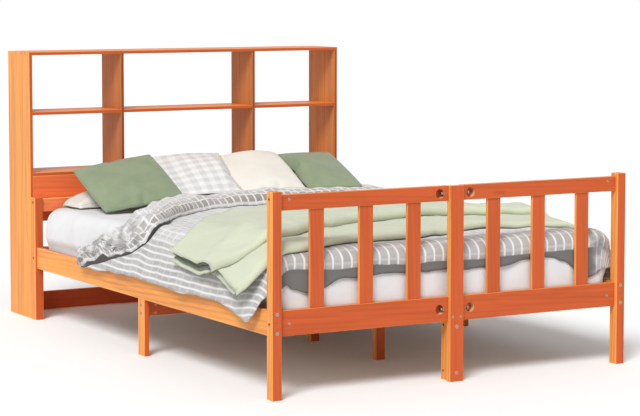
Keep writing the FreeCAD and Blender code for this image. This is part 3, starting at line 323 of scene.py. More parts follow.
class BED_OT_timber(bpy.types.Operator):
    """Gives every board its own stained pine, with the grain along its length"""
    bl_idname = "bed.timber"
    bl_label = "Pine boards"

    def execute(self, context):
        seed = 1
        for axis, names in BOARDS.items():
            for name in names:
                dress(name, pine(f"pine_{name}", axis, seed, BOARD_LIGHT_AND_SHADE.get(name, 1.0)))
                seed += 1
        dress("bed_slats", pine("pine_slats", "X", seed, stain_and_shade=0.0))
        dress("dowels", pine("pine_dowels", "Y", seed + 1, stain_and_shade=0.0))
        return {"FINISHED"}


class BED_OT_fittings(bpy.types.Operator):
    """Gives the bolts, nuts, rods and screws their plated steel, and the slat tapes their weave"""
    bl_idname = "bed.fittings"
    bl_label = "Fittings"

    def execute(self, context):
        plate = steel()
        for name in FITTINGS:
            dress(name, plate)
        dress("slat_tapes", tape())
        return {"FINISHED"}


# Surfaces. Every shape is a grid of points worked out as whole arrays.
MATTRESS_LOW, MATTRESS_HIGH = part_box("mattress")
HALF, FOOT, HEAD, TOP = MATTRESS_HIGH.x, MATTRESS_LOW.y, MATTRESS_HIGH.y, MATTRESS_HIGH.z
# The bedding bends by ROUND at the mattress's edges, and leans out by the sine LEAN where it hangs.
ROUND = 0.05
LEAN = 0.27
SHEET_ROUND = 0.045
STITCH = 0.005


def ease(value, low, high):
    """0 below low, 1 above high, and the smooth step 3t^2 - 2t^3 between."""
    t = np.clip((value - low) / (high - low), 0.0, 1.0)
    return t * t * (3 - 2 * t)


def soft_floor(value, limit, soft):
    """The larger of value and limit, rounded over: limit + soft log(1 + e^((value - limit) / soft))."""
    return limit + np.logaddexp(0, (value - limit) / soft) * soft


def through(knots, at):
    """Smooth curve through (place, value) pairs: cubic Hermite pieces with slopes from the neighbours."""
    place, value = np.array(knots, float).T
    slope = np.gradient(value, place)
    k = np.clip(np.searchsorted(place, at) - 1, 0, len(place) - 2)
    wide = place[k + 1] - place[k]
    t = np.clip((at - place[k]) / wide, 0.0, 1.0)
    return ((1 + 2 * t) * (1 - t) ** 2 * value[k] + t * (1 - t) ** 2 * wide * slope[k]
            + t * t * (3 - 2 * t) * value[k + 1] + t * t * (t - 1) * wide * slope[k + 1])


def lattice(x, y, seed):
    """Smooth noise from -1 to 1: fixed random values on a unit grid, blended by 6t^5 - 15t^4 + 10t^3."""
    i, j = np.floor(x), np.floor(y)
    s, t = x - i, y - j
    s, t = s ** 3 * (s * (s * 6 - 15) + 10), t ** 3 * (t * (t * 6 - 15) + 10)

    def value(a, b):
        wave = np.sin(a * 127.1 + b * 311.7 + seed * 74.7) * 43758.5453
        return 2 * (wave - np.floor(wave)) - 1

    low = value(i, j) * (1 - s) + value(i + 1, j) * s
    high = value(i, j + 1) * (1 - s) + value(i + 1, j + 1) * s
    return low * (1 - t) + high * t


def crumple(x, y, seed, octaves=3):
    """Sum of lattice noise, each octave twice as fine and half as high."""
    return sum(lattice(x * 2 ** k, y * 2 ** k, seed + k) / 2 ** k for k in range(octaves))


def over_bed(x, y, lift):
    """Where the flat cloth point (x, y) comes to lie, `lift` off the mattress.

    On top it stays flat.  Past an edge it bends round the radius ROUND + lift and then falls, leaning out
    over the side rails; past a foot corner the way it falls turns with the angle of the overhang.  At the
    foot it is drawn in to the mattress, behind the footboard."""
    side = np.maximum(np.abs(x) - (HALF - ROUND), 0.0)
    end = np.maximum(FOOT + ROUND - y, 0.0)
    over = np.hypot(side, end) + 1e-9
    to_side, to_end = side / over, end / over
    radius = ROUND + lift
    bend = np.minimum(over / radius, math.pi / 2)
    down = np.maximum(over - radius * math.pi / 2, 0.0)
    lean = LEAN * to_side ** 4
    out = radius * np.sin(bend) + lean * down
    out = out - to_end ** 2 * ease(over, 0.075, 0.115) * np.maximum(out - ROUND - 0.002, 0.0)
    fall = radius * (1 - np.cos(bend)) + np.sqrt(1 - lean ** 2) * down
    return np.stack([np.sign(x) * (np.minimum(np.abs(x), HALF - ROUND) + to_side * out),
                     np.maximum(y, FOOT + ROUND) - to_end * out, TOP + lift - fall], -1)


def along_rows(points):
    """Length walked down each column of a grid of points, from its first row."""
    step = np.linalg.norm(np.diff(points, axis=0), axis=-1)
    return np.concatenate([np.zeros((1, points.shape[1])), np.cumsum(step, axis=0)])


def add(name, data):
    """A new object in the scene."""
    made = bpy.data.objects.new(name, data)
    bpy.context.scene.collection.objects.link(made)
    return made


def surface(name, patches, material, nodes=(), ring=False):
    """One piece from grids: each patch is (points, uv, marks); ring joins the last column to the first."""
    corners, flats, edges, faces, start = [], [], [], [], 0
    for points, flat, marks in patches:
        index = np.arange(points.shape[0] * points.shape[1]).reshape(points.shape[:2]) + start
        start += index.size
        if ring:
            index = np.hstack([index, index[:, :1]])
        around = [index[:-1, :-1], index[:-1, 1:], index[1:, 1:], index[1:, :-1]]
        faces.append(np.stack(around, -1).reshape(-1, 4))
        corners.append(points.reshape(-1, 3))
        flats.append(flat.reshape(-1, 2))
        edges.append(np.broadcast_to(marks, points.shape[:2]).reshape(-1))
    corners, flats, edges, faces = (np.concatenate(part) for part in (corners, flats, edges, faces))
    mesh = bpy.data.meshes.new(name)
    mesh.from_pydata(corners.tolist(), [], faces.tolist())
    layer = mesh.uv_layers.new(name="flat")
    layer.data.foreach_set("uv", flats[faces.ravel()].astype(np.float32).ravel())
    mark = mesh.attributes.new("edge", "FLOAT", "POINT")
    mark.data.foreach_set("value", edges.astype(np.float32))
    mesh.polygons.foreach_set("use_smooth", np.ones(len(faces), bool))
    mesh.materials.append(material)
    piece = add(name, mesh)
    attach(piece, "root")
    if nodes:
        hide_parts(*nodes)
    return piece


def thicken(piece, thick):
    """Gives a sheet its thickness, half to each side."""
    wall = piece.modifiers.new("thickness", "SOLIDIFY")
    wall.thickness = thick
    wall.offset = 0.0
    wall.use_rim = True


def cotton(name, tone, pitch, contrast, rough=0.85, bump=0.5, sheen=0.2, seam=None):
    """Plain woven cotton: warp and weft lines of the piece's own flat map, with soft uneven dye.

    `seam` is how far a stitched line runs from the edge, by the mark `edge`: dashes in a shallow groove.
    Returns the net, its colour, the two coordinates of the flat map and the material."""
    net = Net(name)
    flat = net.place("UV")
    parts = net.split(flat)[:2]
    warp, weft = (net.math("SINE", net.times(part, 2 * math.pi / pitch)) for part in parts)
    weave = net.times(net.math("ADD", net.times(warp, weft), 1.0), 0.5)
    cloud = net.noise(flat, 9.0, 4.0, 0.6)
    slub = net.noise(net.place("UV", scale=(40, 600, 1)), 1.0, 2.0)
    shade = [part * (1 - contrast) for part in tone]
    hue = net.mix(net.ramp(cloud, 0.3, 0.7), tone, shade)
    hue = net.mix(net.times(weave, 0.25), hue, shade)
    height = net.math("ADD", weave, net.times(slub, 0.8))
    if seam is not None:
        off = net.math("ABSOLUTE", net.math("SUBTRACT", net.mark(), seam))
        dash = net.math("SINE", net.times(net.math("ADD", *parts), 2 * math.pi / STITCH))
        thread = net.times(net.ramp(off, 0.0012, 0.0006), net.ramp(dash, -0.4, 0.0, 0.3, 1.0))
        hue = net.mix(thread, hue, [part * 0.55 for part in tone])
        height = net.math("SUBTRACT", height, net.times(net.ramp(off, 0.004, 0.0), 3.0))
    net.paint(hue)
    net.bump(height, bump, 0.0004)
    material = net.finish(net.ramp(cloud, 0.2, 0.8, rough - 0.08, rough + 0.06), Sheen_Weight=sheen)
    return net, hue, parts, material


def line_mask(net, place, pitch, wide, soft):
    """1 on lines `wide` across that repeat by `pitch`, 0 between; `soft` is the blur's share of a pitch."""
    part = net.math("FRACT", net.math("DIVIDE", place, pitch))
    away = net.math("ABSOLUTE", net.math("SUBTRACT", part, 0.5))
    half = 0.5 - wide / pitch / 2
    return net.ramp(away, half - soft / 2, half + soft / 2)


# Widths of the check's lines, depth of its two dark rows, and where it ends above the foot hem.
LINE_WIDE = 0.0075
ROW_WIDE = 0.010
FALL_WIDE = 0.007
BAND_DEEP = 0.094
CHECK_END = FOOT + ROUND - 0.100


def window_check():
    """Grey cotton with white window-pane lines; the edge turned over has two rows of darker squares.

    Painted shade: the grey is deeper where the cloth hangs over the sides and the foot, a dark grey stands
    for the shadow under the foot hem and under the turned edge, and it lies in patches as the shade in the
    creases of two crushed corners.  The mark `edge` is the distance to the turned hem, less than 0 under it,
    and 1 on the part that isn't turned."""
    hue, pitch, rows = palette(), sizes().check_pitch, sizes().check_rows
    ground = hue.check_ground[:]
    net, plain, (along, across), material = cotton("window_check", ground, 0.0016, 0.12, seam=0.012)
    mix, ramp, times = net.mix, net.ramp, net.times
    snap = net.node("ShaderNodeVectorMath", operation="SNAP")
    net.wire(net.place("UV"), snap.inputs[0])
    snap.inputs[1].default_value = (pitch, rows, 1.0)
    cell = net.node("ShaderNodeTexWhiteNoise", noise_dimensions="2D")
    net.wire(snap.outputs[0], cell.inputs["Vector"])
    chance = cell.outputs["Value"]
    x, y, _ = net.split(net.place())
    far = net.mark()
    flat = ramp(far, 0.9, 0.95)
    turned = net.math("SUBTRACT", 1.0, flat)
    over_side = ramp(net.math("ABSOLUTE", along), HALF - 0.05, HALF + 0.05)
    over_foot = ramp(across, FOOT + 0.16, FOOT + 0.05)
    hung = times(net.math("MAXIMUM", over_side, over_foot), flat)

    base = mix(ramp(chance, 0.0, 1.0, 0.0, 0.40), plain, hue.check_line[:])
    # Painted shade: the hanging sides and the foot roll take the darker grey.
    base = mix(times(hung, ramp(chance, 0.0, 1.0, 0.70, 1.0)), base, hue.check_shaded_side[:])
    past_band = ramp(far, BAND_DEEP, BAND_DEEP + 0.008)
    band = net.math("SUBTRACT", ramp(far, 0.003, 0.006), past_band, clamp=True)
    # Painted light: the inner row of darker squares is paler, as the light on the fold.
    band = times(band, ramp(far, BAND_DEEP * 0.45, BAND_DEEP * 0.6, 1.0, 0.55))
    base = mix(times(band, ramp(chance, 0.0, 1.0, 0.55, 1.0)), base, hue.check_band[:])

    down = line_mask(net, along, pitch, LINE_WIDE, 0.16)
    over = line_mask(net, across, rows, ROW_WIDE, 0.12)
    fall = line_mask(net, along, sizes().check_fall, FALL_WIDE, 0.30)
    falls = times(over_side, flat)
    down = net.math("ADD", times(down, net.math("SUBTRACT", 1.0, falls)), times(fall, falls))
    over = times(over, ramp(hung, 0.0, 1.0, 1.0, 0.25))
    tone = mix(net.math("MAXIMUM", down, over), base, hue.check_line[:])

    # Painted shadow: the strip of the cover above the foot hem is dark grey, as the shade under the foot
    # roll.
    under_foot = times(ramp(across, CHECK_END, CHECK_END - 0.006), flat)
    under_foot = times(under_foot, ramp(x, HALF - 0.05, HALF - 0.09))
    tone = mix(under_foot, tone, [part * 1.6 for part in hue.shaded_reverse])
    # Painted shade in the creases of the crushed corners at the head and the foot.
    head_corner = times(ramp(x, 0.05 - HALF, -0.06 - HALF), turned)
    foot_corner = times(ramp(x, HALF - 0.16, HALF - 0.04), ramp(y, FOOT + 0.10, FOOT + 0.03))
    folds = ramp(net.noise(net.place(), 15.0, 2.0), 0.44, 0.60, 0.0, 0.60)
    crease_shade = times(net.math("MAXIMUM", head_corner, foot_corner), folds)
    tone = mix(crease_shade, tone, hue.shaded_reverse[:])
    # Painted shadow under the bead of the turned edge.
    under_cuff = times(ramp(far, -0.010, -0.014), turned)
    net.paint(mix(under_cuff, tone, [part * 0.3 for part in hue.shaded_reverse]))
    return material


# The mattress: radii of its corners and of its lower edge, and how far its long sides swell.
CORNER_ROUND = 0.055
UNDER_ROUND = 0.03
BULGE = 0.016
RING_POINTS = 720
STRAIGHT_SHARE = 0.88
BOTTOM_ROWS, WALL_ROWS, TOP_ROWS, BOW_ROWS = 13, 12, 39, 9


class BED_OT_mattress(bpy.types.Operator):
    """Makes the mattress in its fitted sheet"""
    bl_idname = "bed.mattress"
    bl_label = "Mattress"

    def execute(self, context):
        """Rings round a rounded rectangle, moved in by the profile's inset, at the profile's height; the
        sheet's creases push the sides in and out by noise that is short along the ring and long up it."""
        low, high = np.array(MATTRESS_LOW), np.array(MATTRESS_HIGH)
        half = (high - low)[:2] / 2
        turn = np.linspace(0, 1, RING_POINTS + 1)[:-1] * 4
        share, arc = turn % 1.0, turn.astype(int)
        straight = np.minimum(share / STRAIGHT_SHARE, 1.0)
        angle = (arc + np.maximum(share - STRAIGHT_SHARE, 0) / (1 - STRAIGHT_SHARE)) * math.pi / 2
        normal = np.stack([np.cos(angle), np.sin(angle)], -1)
        ends = np.array([[1, -1], [1, 1], [-1, 1], [-1, -1]], float)
        core = ends[arc] * (1 - straight[:, None]) + np.roll(ends, -1, 0)[arc] * straight[:, None]
        core = core * (half - CORNER_ROUND)

        tall, under, upper = high[2] - low[2], UNDER_ROUND, SHEET_ROUND
        bow = np.linspace(0, math.pi / 2, BOW_ROWS)
        inset = np.concatenate([
            np.linspace(half[0], under, BOTTOM_ROWS + 1)[:-1], under * (1 - np.sin(bow)),
            np.zeros(WALL_ROWS), upper * (1 - np.cos(bow)), np.linspace(upper, half[0], TOP_ROWS + 1)[1:]])
        rise = np.concatenate([
            np.zeros(BOTTOM_ROWS), under * (1 - np.cos(bow)),
            np.linspace(under, tall - upper, WALL_ROWS + 2)[1:-1], tall - upper * (1 - np.sin(bow)),
            np.full(TOP_ROWS, tall)])
        deep = np.maximum(inset - CORNER_ROUND, 0.0)
        shrink = 1 - deep[:, None] / (half - CORNER_ROUND)
        corner = np.maximum(CORNER_ROUND - inset, 0.0)
        ring = core[None] * shrink[:, None] + normal[None] * corner[:, None, None]

        wall_ring = ring[BOTTOM_ROWS + BOW_ROWS + WALL_ROWS // 4]
        long = np.concatenate([[0], np.cumsum(np.linalg.norm(np.diff(wall_ring, axis=0), axis=-1))])
        wall = ease(rise, 0.0, 0.06) * (1 - ease(inset, 0.0, 0.12))
        crease = crumple(long[None] * 9, rise[:, None] * 3 + 7, 3, 3)
        crease = crease + 0.5 * lattice(long[None] * 26 + rise[:, None] * 8, rise[:, None] * 2, 5)
        ring = ring + normal[None] * (wall[:, None] * (crease * 0.0035 - 0.003))[..., None]
        bulge = BULGE * ease(rise, 0.035, 0.08) * (1 - ease(rise, 0.11, tall)) * (1 - ease(inset, 0.0, 0.05))
        ring[..., 0] += bulge[:, None] * normal[None, :, 0]
        x, y = ring[..., 0], ring[..., 1]
        soft = (crumple(x * 7, y * 5, 11, 3) - 1.2) * 0.0022 * ease(rise, tall * 0.8, tall)[:, None]
        middle = (low + high)[:2] / 2
        points = np.concatenate([ring + middle, (low[2] + rise[:, None] + soft)[..., None]], -1)
        walk = along_rows(points)
        flat = np.stack([np.broadcast_to(long[None], walk.shape), walk], -1)
        cloth = cotton("white_sheet", palette().sheet[:], 0.0012, 0.06, 0.8)[-1]
        patches = [(points, flat, 0.0)]
        piece = surface("mattress_in_sheet", patches, cloth, ["mattress"], ring=True)
        return {"FINISHED"}


# The cover. The tables run across the bed, SIDE_HANG along it, in metres: where the turned edge's hem
# lies, how wide that edge is, and how far the cover hangs over the sides and the foot.
COVER_LIFT = 0.013
COVER_THICK = 0.005
COVER_COLUMNS, COVER_ROWS = 191, 150
USUAL_HANG = 0.24
CUFF_HEM = [(-0.95, 0.43), (-0.905, 0.37), (-0.865, 0.21), (-0.82, 0.05), (-0.76, -0.115), (-0.71, -0.165),
            (-0.662, -0.14), (-0.49, 0.08), (-0.341, 0.235), (-0.112, 0.345), (0.116, 0.38), (0.66, 0.38),
            (0.95, 0.40)]
CUFF_WIDE = [(-0.95, 0.015), (-0.905, 0.035), (-0.865, 0.11), (-0.82, 0.18), (-0.76, 0.20), (-0.70, 0.20),
             (-0.6, 0.18), (-0.4, 0.18), (-0.25, 0.20), (-0.1, 0.24), (0.116, 0.22), (0.66, 0.22),
             (0.82, 0.20), (0.95, 0.06)]
SIDE_HANG = [(-1.30, 0.10), (-1.13, 0.19), (-1.08, 0.245), (-1.04, 0.285), (-0.97, 0.265), (-0.87, 0.243),
             (-0.5, 0.236), (0.0, 0.232), (0.3, 0.245), (0.8, 0.26)]
FOOT_HANG = [(-0.95, 0.09), (-0.74, 0.17), (-0.64, 0.185), (-0.54, 0.150), (-0.35, 0.138), (0.2, 0.138),
             (0.5, 0.132), (0.62, 0.17), (0.69, 0.21), (0.78, 0.19), (0.95, 0.08)]


def cover_lift(x, y):
    """Height of the quilted cover off the mattress: its thickness with broad soft swells, finer wrinkles and
    a fuller roll at the foot."""
    swell = 0.0045 * crumple(x * 4.5 + y * 1.5, y * 3.5, 21, 2) + 0.0022 * crumple(x * 15 + 3, y * 11, 27, 2)
    roll = 0.010 * ease(-y, -FOOT - 0.22, -FOOT - 0.05)
    return COVER_LIFT + swell + roll


def cover_hang(points, x, y):
    """Folds in the hanging sides: a wave along the rail that grows with the fall, bent by noise.  The foot
    end keeps clear of the footboard and the posts."""
    side = np.maximum(np.abs(x) - HALF - 0.03, 0.0)
    wave = np.sin(y * 38 + 2.2 * crumple(y * 4, x * 0 + 1, 33, 2)) * 0.5
    wave = wave + crumple(y * 9, side * 6, 35, 2) * 0.6
    push = ease(side, 0.0, 0.16) * (0.0055 * wave + 0.004)
    points[..., 0] += np.sign(x) * push
    limit = FOOT - 0.0062 + 0.0112 * ease(np.abs(points[..., 0]), HALF - 0.035, HALF + 0.002)
    points[..., 1] = soft_floor(points[..., 1], limit, 0.002)
    return points


class BED_OT_cover(bpy.types.Operator):
    """Lays the checked cover over the bed and turns its head edge back"""
    bl_idname = "bed.cover"
    bl_label = "Checked cover"

    def execute(self, context):
        """The main grid runs from the foot hem to the fold, and from side hem to side hem.  The cuff's
        profile goes round the fold, back along the top, down an elliptic front and round its hem."""
        u = np.linspace(-1, 1, COVER_COLUMNS)[None]
        v = np.linspace(0, 1, COVER_ROWS)[:, None]
        reach = HALF - ROUND
        x = u * (reach + USUAL_HANG) + 0 * v
        fold = through(CUFF_HEM, x) + through(CUFF_WIDE, x)
        foot = FOOT + ROUND - through(FOOT_HANG, x) - 0.004 * crumple(x * 14, x * 0, 41, 2)
        y = foot + (fold - foot) * v
        x = u * (reach + through(SIDE_HANG, y) + 0.004 * lattice(y * 16, y * 0 + np.sign(u), 43))
        body = cover_hang(over_bed(x, y, cover_lift(x, y)), x, y)
        main = (body, np.stack([x, y], -1), 1.0)

        hang = x[-1][None]
        wide, hem = through(CUFF_WIDE, hang), through(CUFF_HEM, hang)
        full = 0.046 - 0.020 * ease(np.abs(hang), HALF - 0.05, HALF + 0.05)
        puff = np.minimum(full, 0.32 * wide) * (1 + 0.22 * crumple(hang * 7, hang * 0 + 2, 51, 2))
        front = np.minimum(0.085, wide * 0.6)
        bead = np.minimum(0.006 + 0.006 * (1 - ease(hang, -0.76, -0.40)), puff * 0.3)
        turn = np.linspace(-math.pi / 2, math.pi / 2, 13)[:, None]
        t = np.linspace(0, 1, 26)[1:, None]
        s = np.sin(np.linspace(0, math.pi / 2, 26))[1:, None]
        curl = np.linspace(0, math.pi, 10)[1:, None]
        under = np.linspace(0, 1, 5)[1:, None]
        back = np.concatenate([-puff * 0.6 * np.cos(turn), (wide - front) * t, (wide - front) + front * s,
                               wide + bead * np.sin(curl), wide - np.minimum(0.03, wide * 0.4) * under])
        drop = (puff - 2 * bead) * np.sqrt(np.maximum(1 - s * s, 0.0)) + 2 * bead
        rise = np.concatenate([puff * (1 + np.sin(turn)) / 2, puff + 0 * t, drop,
                               bead * (1 + np.cos(curl)), bead * 0 * under]) + 0.002
        hem_row = len(turn) + len(t) + len(s) - 1
        cx, cy = np.broadcast_to(hang, back.shape), hem + wide - back
        near = 1 - ease(cx, -0.80, -0.45)
        rough = crumple(cx * 18 + cy * 9, cy * 16, 55, 3) * (0.0035 + 0.010 * near) * ease(rise, 0.0, 0.03)
        cuff = cover_hang(over_bed(cx, cy, cover_lift(cx, cy) + rise + rough), cx, cy)
        walk = along_rows(cuff)
        far = walk[hem_row][None] - walk
        hem_run = along_rows(cuff[hem_row][:, None])[:, 0]
        scale = sizes().check_rows / sizes().band_rows
        over = (cuff, np.stack([np.broadcast_to(hem_run[None], far.shape), far * scale], -1), far)
        piece = surface("checked_cover", [main, over], window_check(), ["check_cover"])
        thicken(piece, COVER_THICK)
        return {"FINISHED"}


# The throw. The tables run across the bed, in metres: the head and foot edges of the upper layer, and
# the foot edge of the lower one, which is LOWER_WIDE wide.
THROW_THICK = 0.006
LOWER_WIDE = 0.40
UPPER_HEAD = [(-0.87, -0.36), (-0.82, -0.38), (-0.76, -0.43), (-0.70, -0.46), (-0.64, -0.42), (-0.53, -0.27),
              (-0.432, -0.18), (-0.24, -0.05), (0.0, 0.05), (0.3, 0.06), (0.6, 0.0), (0.87, -0.08)]
UPPER_FOOT = [(-0.87, -0.70), (-0.82, -0.78), (-0.76, -0.92), (-0.70, -0.99), (-0.63, -0.985),
              (-0.45, -0.865), (-0.33, -0.79), (-0.155, -0.70), (0.09, -0.64), (0.29, -0.605), (0.38, -0.61),
              (0.47, -0.64), (0.6, -0.68), (0.72, -0.74), (0.87, -0.79)]
LOWER_FOOT = [(-0.89, -0.97), (-0.82, -1.06), (-0.76, -1.095), (-0.69, -1.105), (-0.58, -1.09),
              (-0.49, -1.06), (-0.40, -1.015), (-0.315, -0.98), (-0.10, -0.95), (0.0, -0.915), (0.22, -0.86),
              (0.42, -0.845), (0.57, -0.88), (0.70, -0.92), (0.89, -0.94)]


def slim(x):
    """The share of a fold's thickness that is left where its own weight pulls it flat: towards the right, and
    over both sides."""
    return 1 - 0.45 * ease(np.abs(x), HALF - 0.06, HALF + 0.05) - 0.22 * ease(x, 0.2, HALF - 0.05)


def folded(head, foot, low, gap, ends, slant, seed, swell):
    """A layer folded in two: from the head edge along the bottom ply, round a half circle of width `gap` at
    the foot edge and back along the top ply, carried across the bed.  `low` is the height under it, `ends`
    how far each ply hangs over the sides, and `swell` how far the top ply is puffed up.  The ends are stiff
    and stand off the sides; `slant` is how much further the left one hangs for each metre to the foot.  The
    mark is 0 where the bottom ply meets the fold, and rises along that ply and round the fold."""
    share = np.linspace(0, 1, 36)[:, None]
    turn = np.linspace(-math.pi / 2, math.pi / 2, 11)[1:-1, None]
    run = np.concatenate([share, np.ones_like(turn), share[::-1]])
    out = np.concatenate([share * 0, np.cos(turn), share * 0])
    level = np.concatenate([share * 0, (1 + np.sin(turn)) / 2, share * 0 + 1])
    u = np.linspace(-1, 1, 131)[None]
    hang = ends[0] + (ends[1] - ends[0]) * level
    x = u * (HALF - ROUND + hang)
    x = x - slant * (head(x) - foot(x)) * (run - 0.5) * ease(-u, 0.6, 1.0)
    y = head(x) + (foot(x) - head(x)) * run - out * gap * 0.6
    puff = swell * level * np.sqrt(np.maximum(np.sin(math.pi * np.clip(run, 0.02, 0.98)), 0.0))
    soft = 0.004 * crumple(x * 5 + y * 2, y * 6, seed, 3) + 0.0015 * crumple(x * 22, y * 16, seed + 5, 2)
    x = x + 0.0025 * lattice(y * 14 + level * 5, level * 9, seed + 9) * np.abs(u) ** 8
    lift = low(x, y) + (0.006 + gap * level + puff + soft * (0.4 + 0.6 * level)) * slim(x)
    points = over_bed(x, y, lift)
    stiff = np.maximum(np.abs(x) - HALF - 0.02, 0.0)
    points += np.stack([np.sign(x) * 0.32 * stiff, 0 * stiff, 0.10 * stiff], -1)
    return points, np.stack([x, along_rows(points)], -1), level + 4 * (1 - run)


class BED_OT_throw(bpy.types.Operator):
    """Lays the folded green throw across the foot of the bed"""
    bl_idname = "bed.throw"
    bl_label = "Folded throw"

    def execute(self, context):
        """A lower layer, an upper one on it, and a thinner layer inside the upper one, dark green all over as
        painted shade in the fold.
        """
        lower_foot = partial(through, LOWER_FOOT)
        upper_foot = partial(through, UPPER_FOOT)
        upper_head = partial(through, UPPER_HEAD)

        def lower_head(x):
            return lower_foot(x) + LOWER_WIDE

        def on_lower(x, y):
            stacked = ease(-y, -lower_head(x) - 0.02, -lower_head(x) + 0.10)
            return cover_lift(x, y) + 0.032 * stacked * slim(x)

        def inner_head(x):
            return upper_head(x) - 0.02 - 0.23 * ease(x, -0.65, -0.45)

        def inner_foot(x):
            return upper_foot(x) + 0.03

        def on_ply(x, y):
            return on_lower(x, y) + 0.009 * slim(x)

        lower = folded(lower_head, lower_foot, cover_lift, gap=0.022, ends=(0.172, 0.170),
                       slant=0.22, seed=61, swell=0.010)
        upper = folded(upper_head, upper_foot, on_lower, gap=0.036, ends=(0.158, 0.152),
                       slant=0.08, seed=67, swell=0.008)
        points, flat, _ = folded(inner_head, inner_foot, on_ply, gap=0.014, ends=(0.150, 0.146),
                                 slant=0.08, seed=67, swell=0.006)
        layers = [lower, upper, (points, flat, 0.0)]
        net, plain, _, cloth = cotton("throw_plush", palette().throw[:], 0.0022, 0.08, 0.9, 0.6, 0.35)
        # Painted shade: dark green where the bottom ply meets its fold, round the fold's lower part, and on
        # the inner layer.
        reverse = net.ramp(net.mark(), 0.10, 0.26, 1.0, 0.0)
        net.paint(net.mix(reverse, plain, palette().throw_shade[:]))
        piece = surface("folded_throw", layers, cloth, ["green_throw"])
        thicken(piece, THROW_THICK)
        return {"FINISHED"}


# The cushions: the share of their box that is filled, how far the flat panels' rims bow out and how deep
# they start, the height of a lying pillow's rim in half heights, and how far the seam is from the edge.
FILLED_SHARE = 0.46
BARREL = 0.03
START_DEPTH = 0.25
PILLOW_RIM = -0.88
PANEL_POINTS, PILLOW_POINTS = 41, 57
LARGEST_CUSHION = 0.25
SEAT_GAP = 0.003
SEAM = 0.007
LAST_FRAME = 26
THREAD = 0.0014
THREADS = 84


def read(items, key, width):
    """One property of all items as an array with `width` numbers in each row."""
    values = np.zeros(len(items) * width, np.float32)
    items.foreach_get(key, values)
    return values.reshape(-1, width).astype(float)


def cushion_frame(node, lying=False):
    """Middle, half sizes and axes (across, up its face, out of its face) of a cushion's solid.  The way out
    is that of the least spread; the way across gives the smallest rectangle within 25 degrees of level."""
    spots = np.unique(np.round(read(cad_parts[node].data.vertices, "co", 3), 5), axis=0)
    axes = np.eye(3)
    if not lying:
        out = np.linalg.eigh(np.cov((spots - spots.mean(0)).T))[1][:, 0]
        out = out * (1 if out[2] > 0 else -1)
        level = np.cross([0, 0, 1.0], -out)
        level = level / np.linalg.norm(level) * np.sign(level[0])
        steep = np.cross(out, level)
        turns = np.radians(np.linspace(-25, 25, 101))
        tries = [level * math.cos(turn) + steep * math.sin(turn) for turn in turns]
        across = min(tries, key=lambda way: np.ptp(spots @ way) * np.ptp(spots @ np.cross(out, way)))
        axes = np.stack([across, np.cross(out, across), out])
    inside = spots @ axes.T
    low, high = inside.min(0), inside.max(0)
    return (low + high) / 2 @ axes, (high - low) / 2, axes


def stuffed(name, node, material, lying=False, tuck=0.0):
    """A stuffed cover.  Two flat panels with rims bowed out by 1 - v^2 and 1 - u^2, joined there, are blown
    up by a cloth simulation, which draws the rims in until they are straight; the size is then set to the
    solid's, and the side that rests on the mattress is flattened there.  A pillow that lies has its rim near
    the bottom, and `tuck` is how far the left edge is pushed behind the cushion beside it."""
    middle, half, axes = cushion_frame(node, lying)
    wide = np.linspace(-1, 1, PANEL_POINTS if half[0] < LARGEST_CUSHION else PILLOW_POINTS)
    down = np.linspace(1, -1, PANEL_POINTS)
    u, v = np.meshgrid(wide, np.concatenate([down, down[-2:0:-1]]), indexing="ij")
    face = np.where(np.arange(v.shape[1]) < len(down), 1.0, -1.0)[None]
    depth = face * np.sqrt(np.clip((1 - u ** 2) * (1 - v ** 2), 0, 1))
    body = np.stack([u * half[0] * (1 + BARREL * (1 - v ** 2)), v * half[1] * (1 + BARREL * (1 - u ** 2)),
                     depth * half[2] * START_DEPTH], -1)
    flat = np.stack([u * half[0], v * half[1]], -1)
    inward = np.minimum((1 - np.abs(u)) * half[0], (1 - np.abs(v)) * half[1])
    piece = surface(name, [(body, flat, inward)], material, [node], ring=True)
    inflate(piece, FILLED_SHARE * np.prod(2 * half))
    spots = read(piece.data.vertices, "co", 3)
    full = half * np.array([1.0, 1.0, 1.0])
    spots = spots * (full / np.abs(spots).max(0))
    if lying:
        height = spots[:, 2] / half[2]
        plump = (1 - PILLOW_RIM) * np.maximum(height, 0) ** 0.6 + (1 + PILLOW_RIM) * np.minimum(height, 0)
        past = np.clip((spots[:, 1] + middle[1] - HEAD + SHEET_ROUND) / SHEET_ROUND, 0.0, 1.0)
        spots[:, 2] = half[2] * (PILLOW_RIM + plump) - SHEET_ROUND * (1 - np.sqrt(1 - past ** 2))
    behind = tuck * ease(-spots[:, 0] / half[0], 0.0, 1.0)
    spots = (spots - np.stack([behind, 0 * behind, 0.4 * behind], -1)) @ axes + middle
    if not lying:
        spots[:, 2] = soft_floor(spots[:, 2], TOP + SEAT_GAP, 0.004)
    piece.data.vertices.foreach_set("co", spots.astype(np.float32).ravel())
    piece.data.update()
    smooth = piece.modifiers.new("smooth", "SUBSURF")
    smooth.levels = smooth.render_levels = 1
    return piece


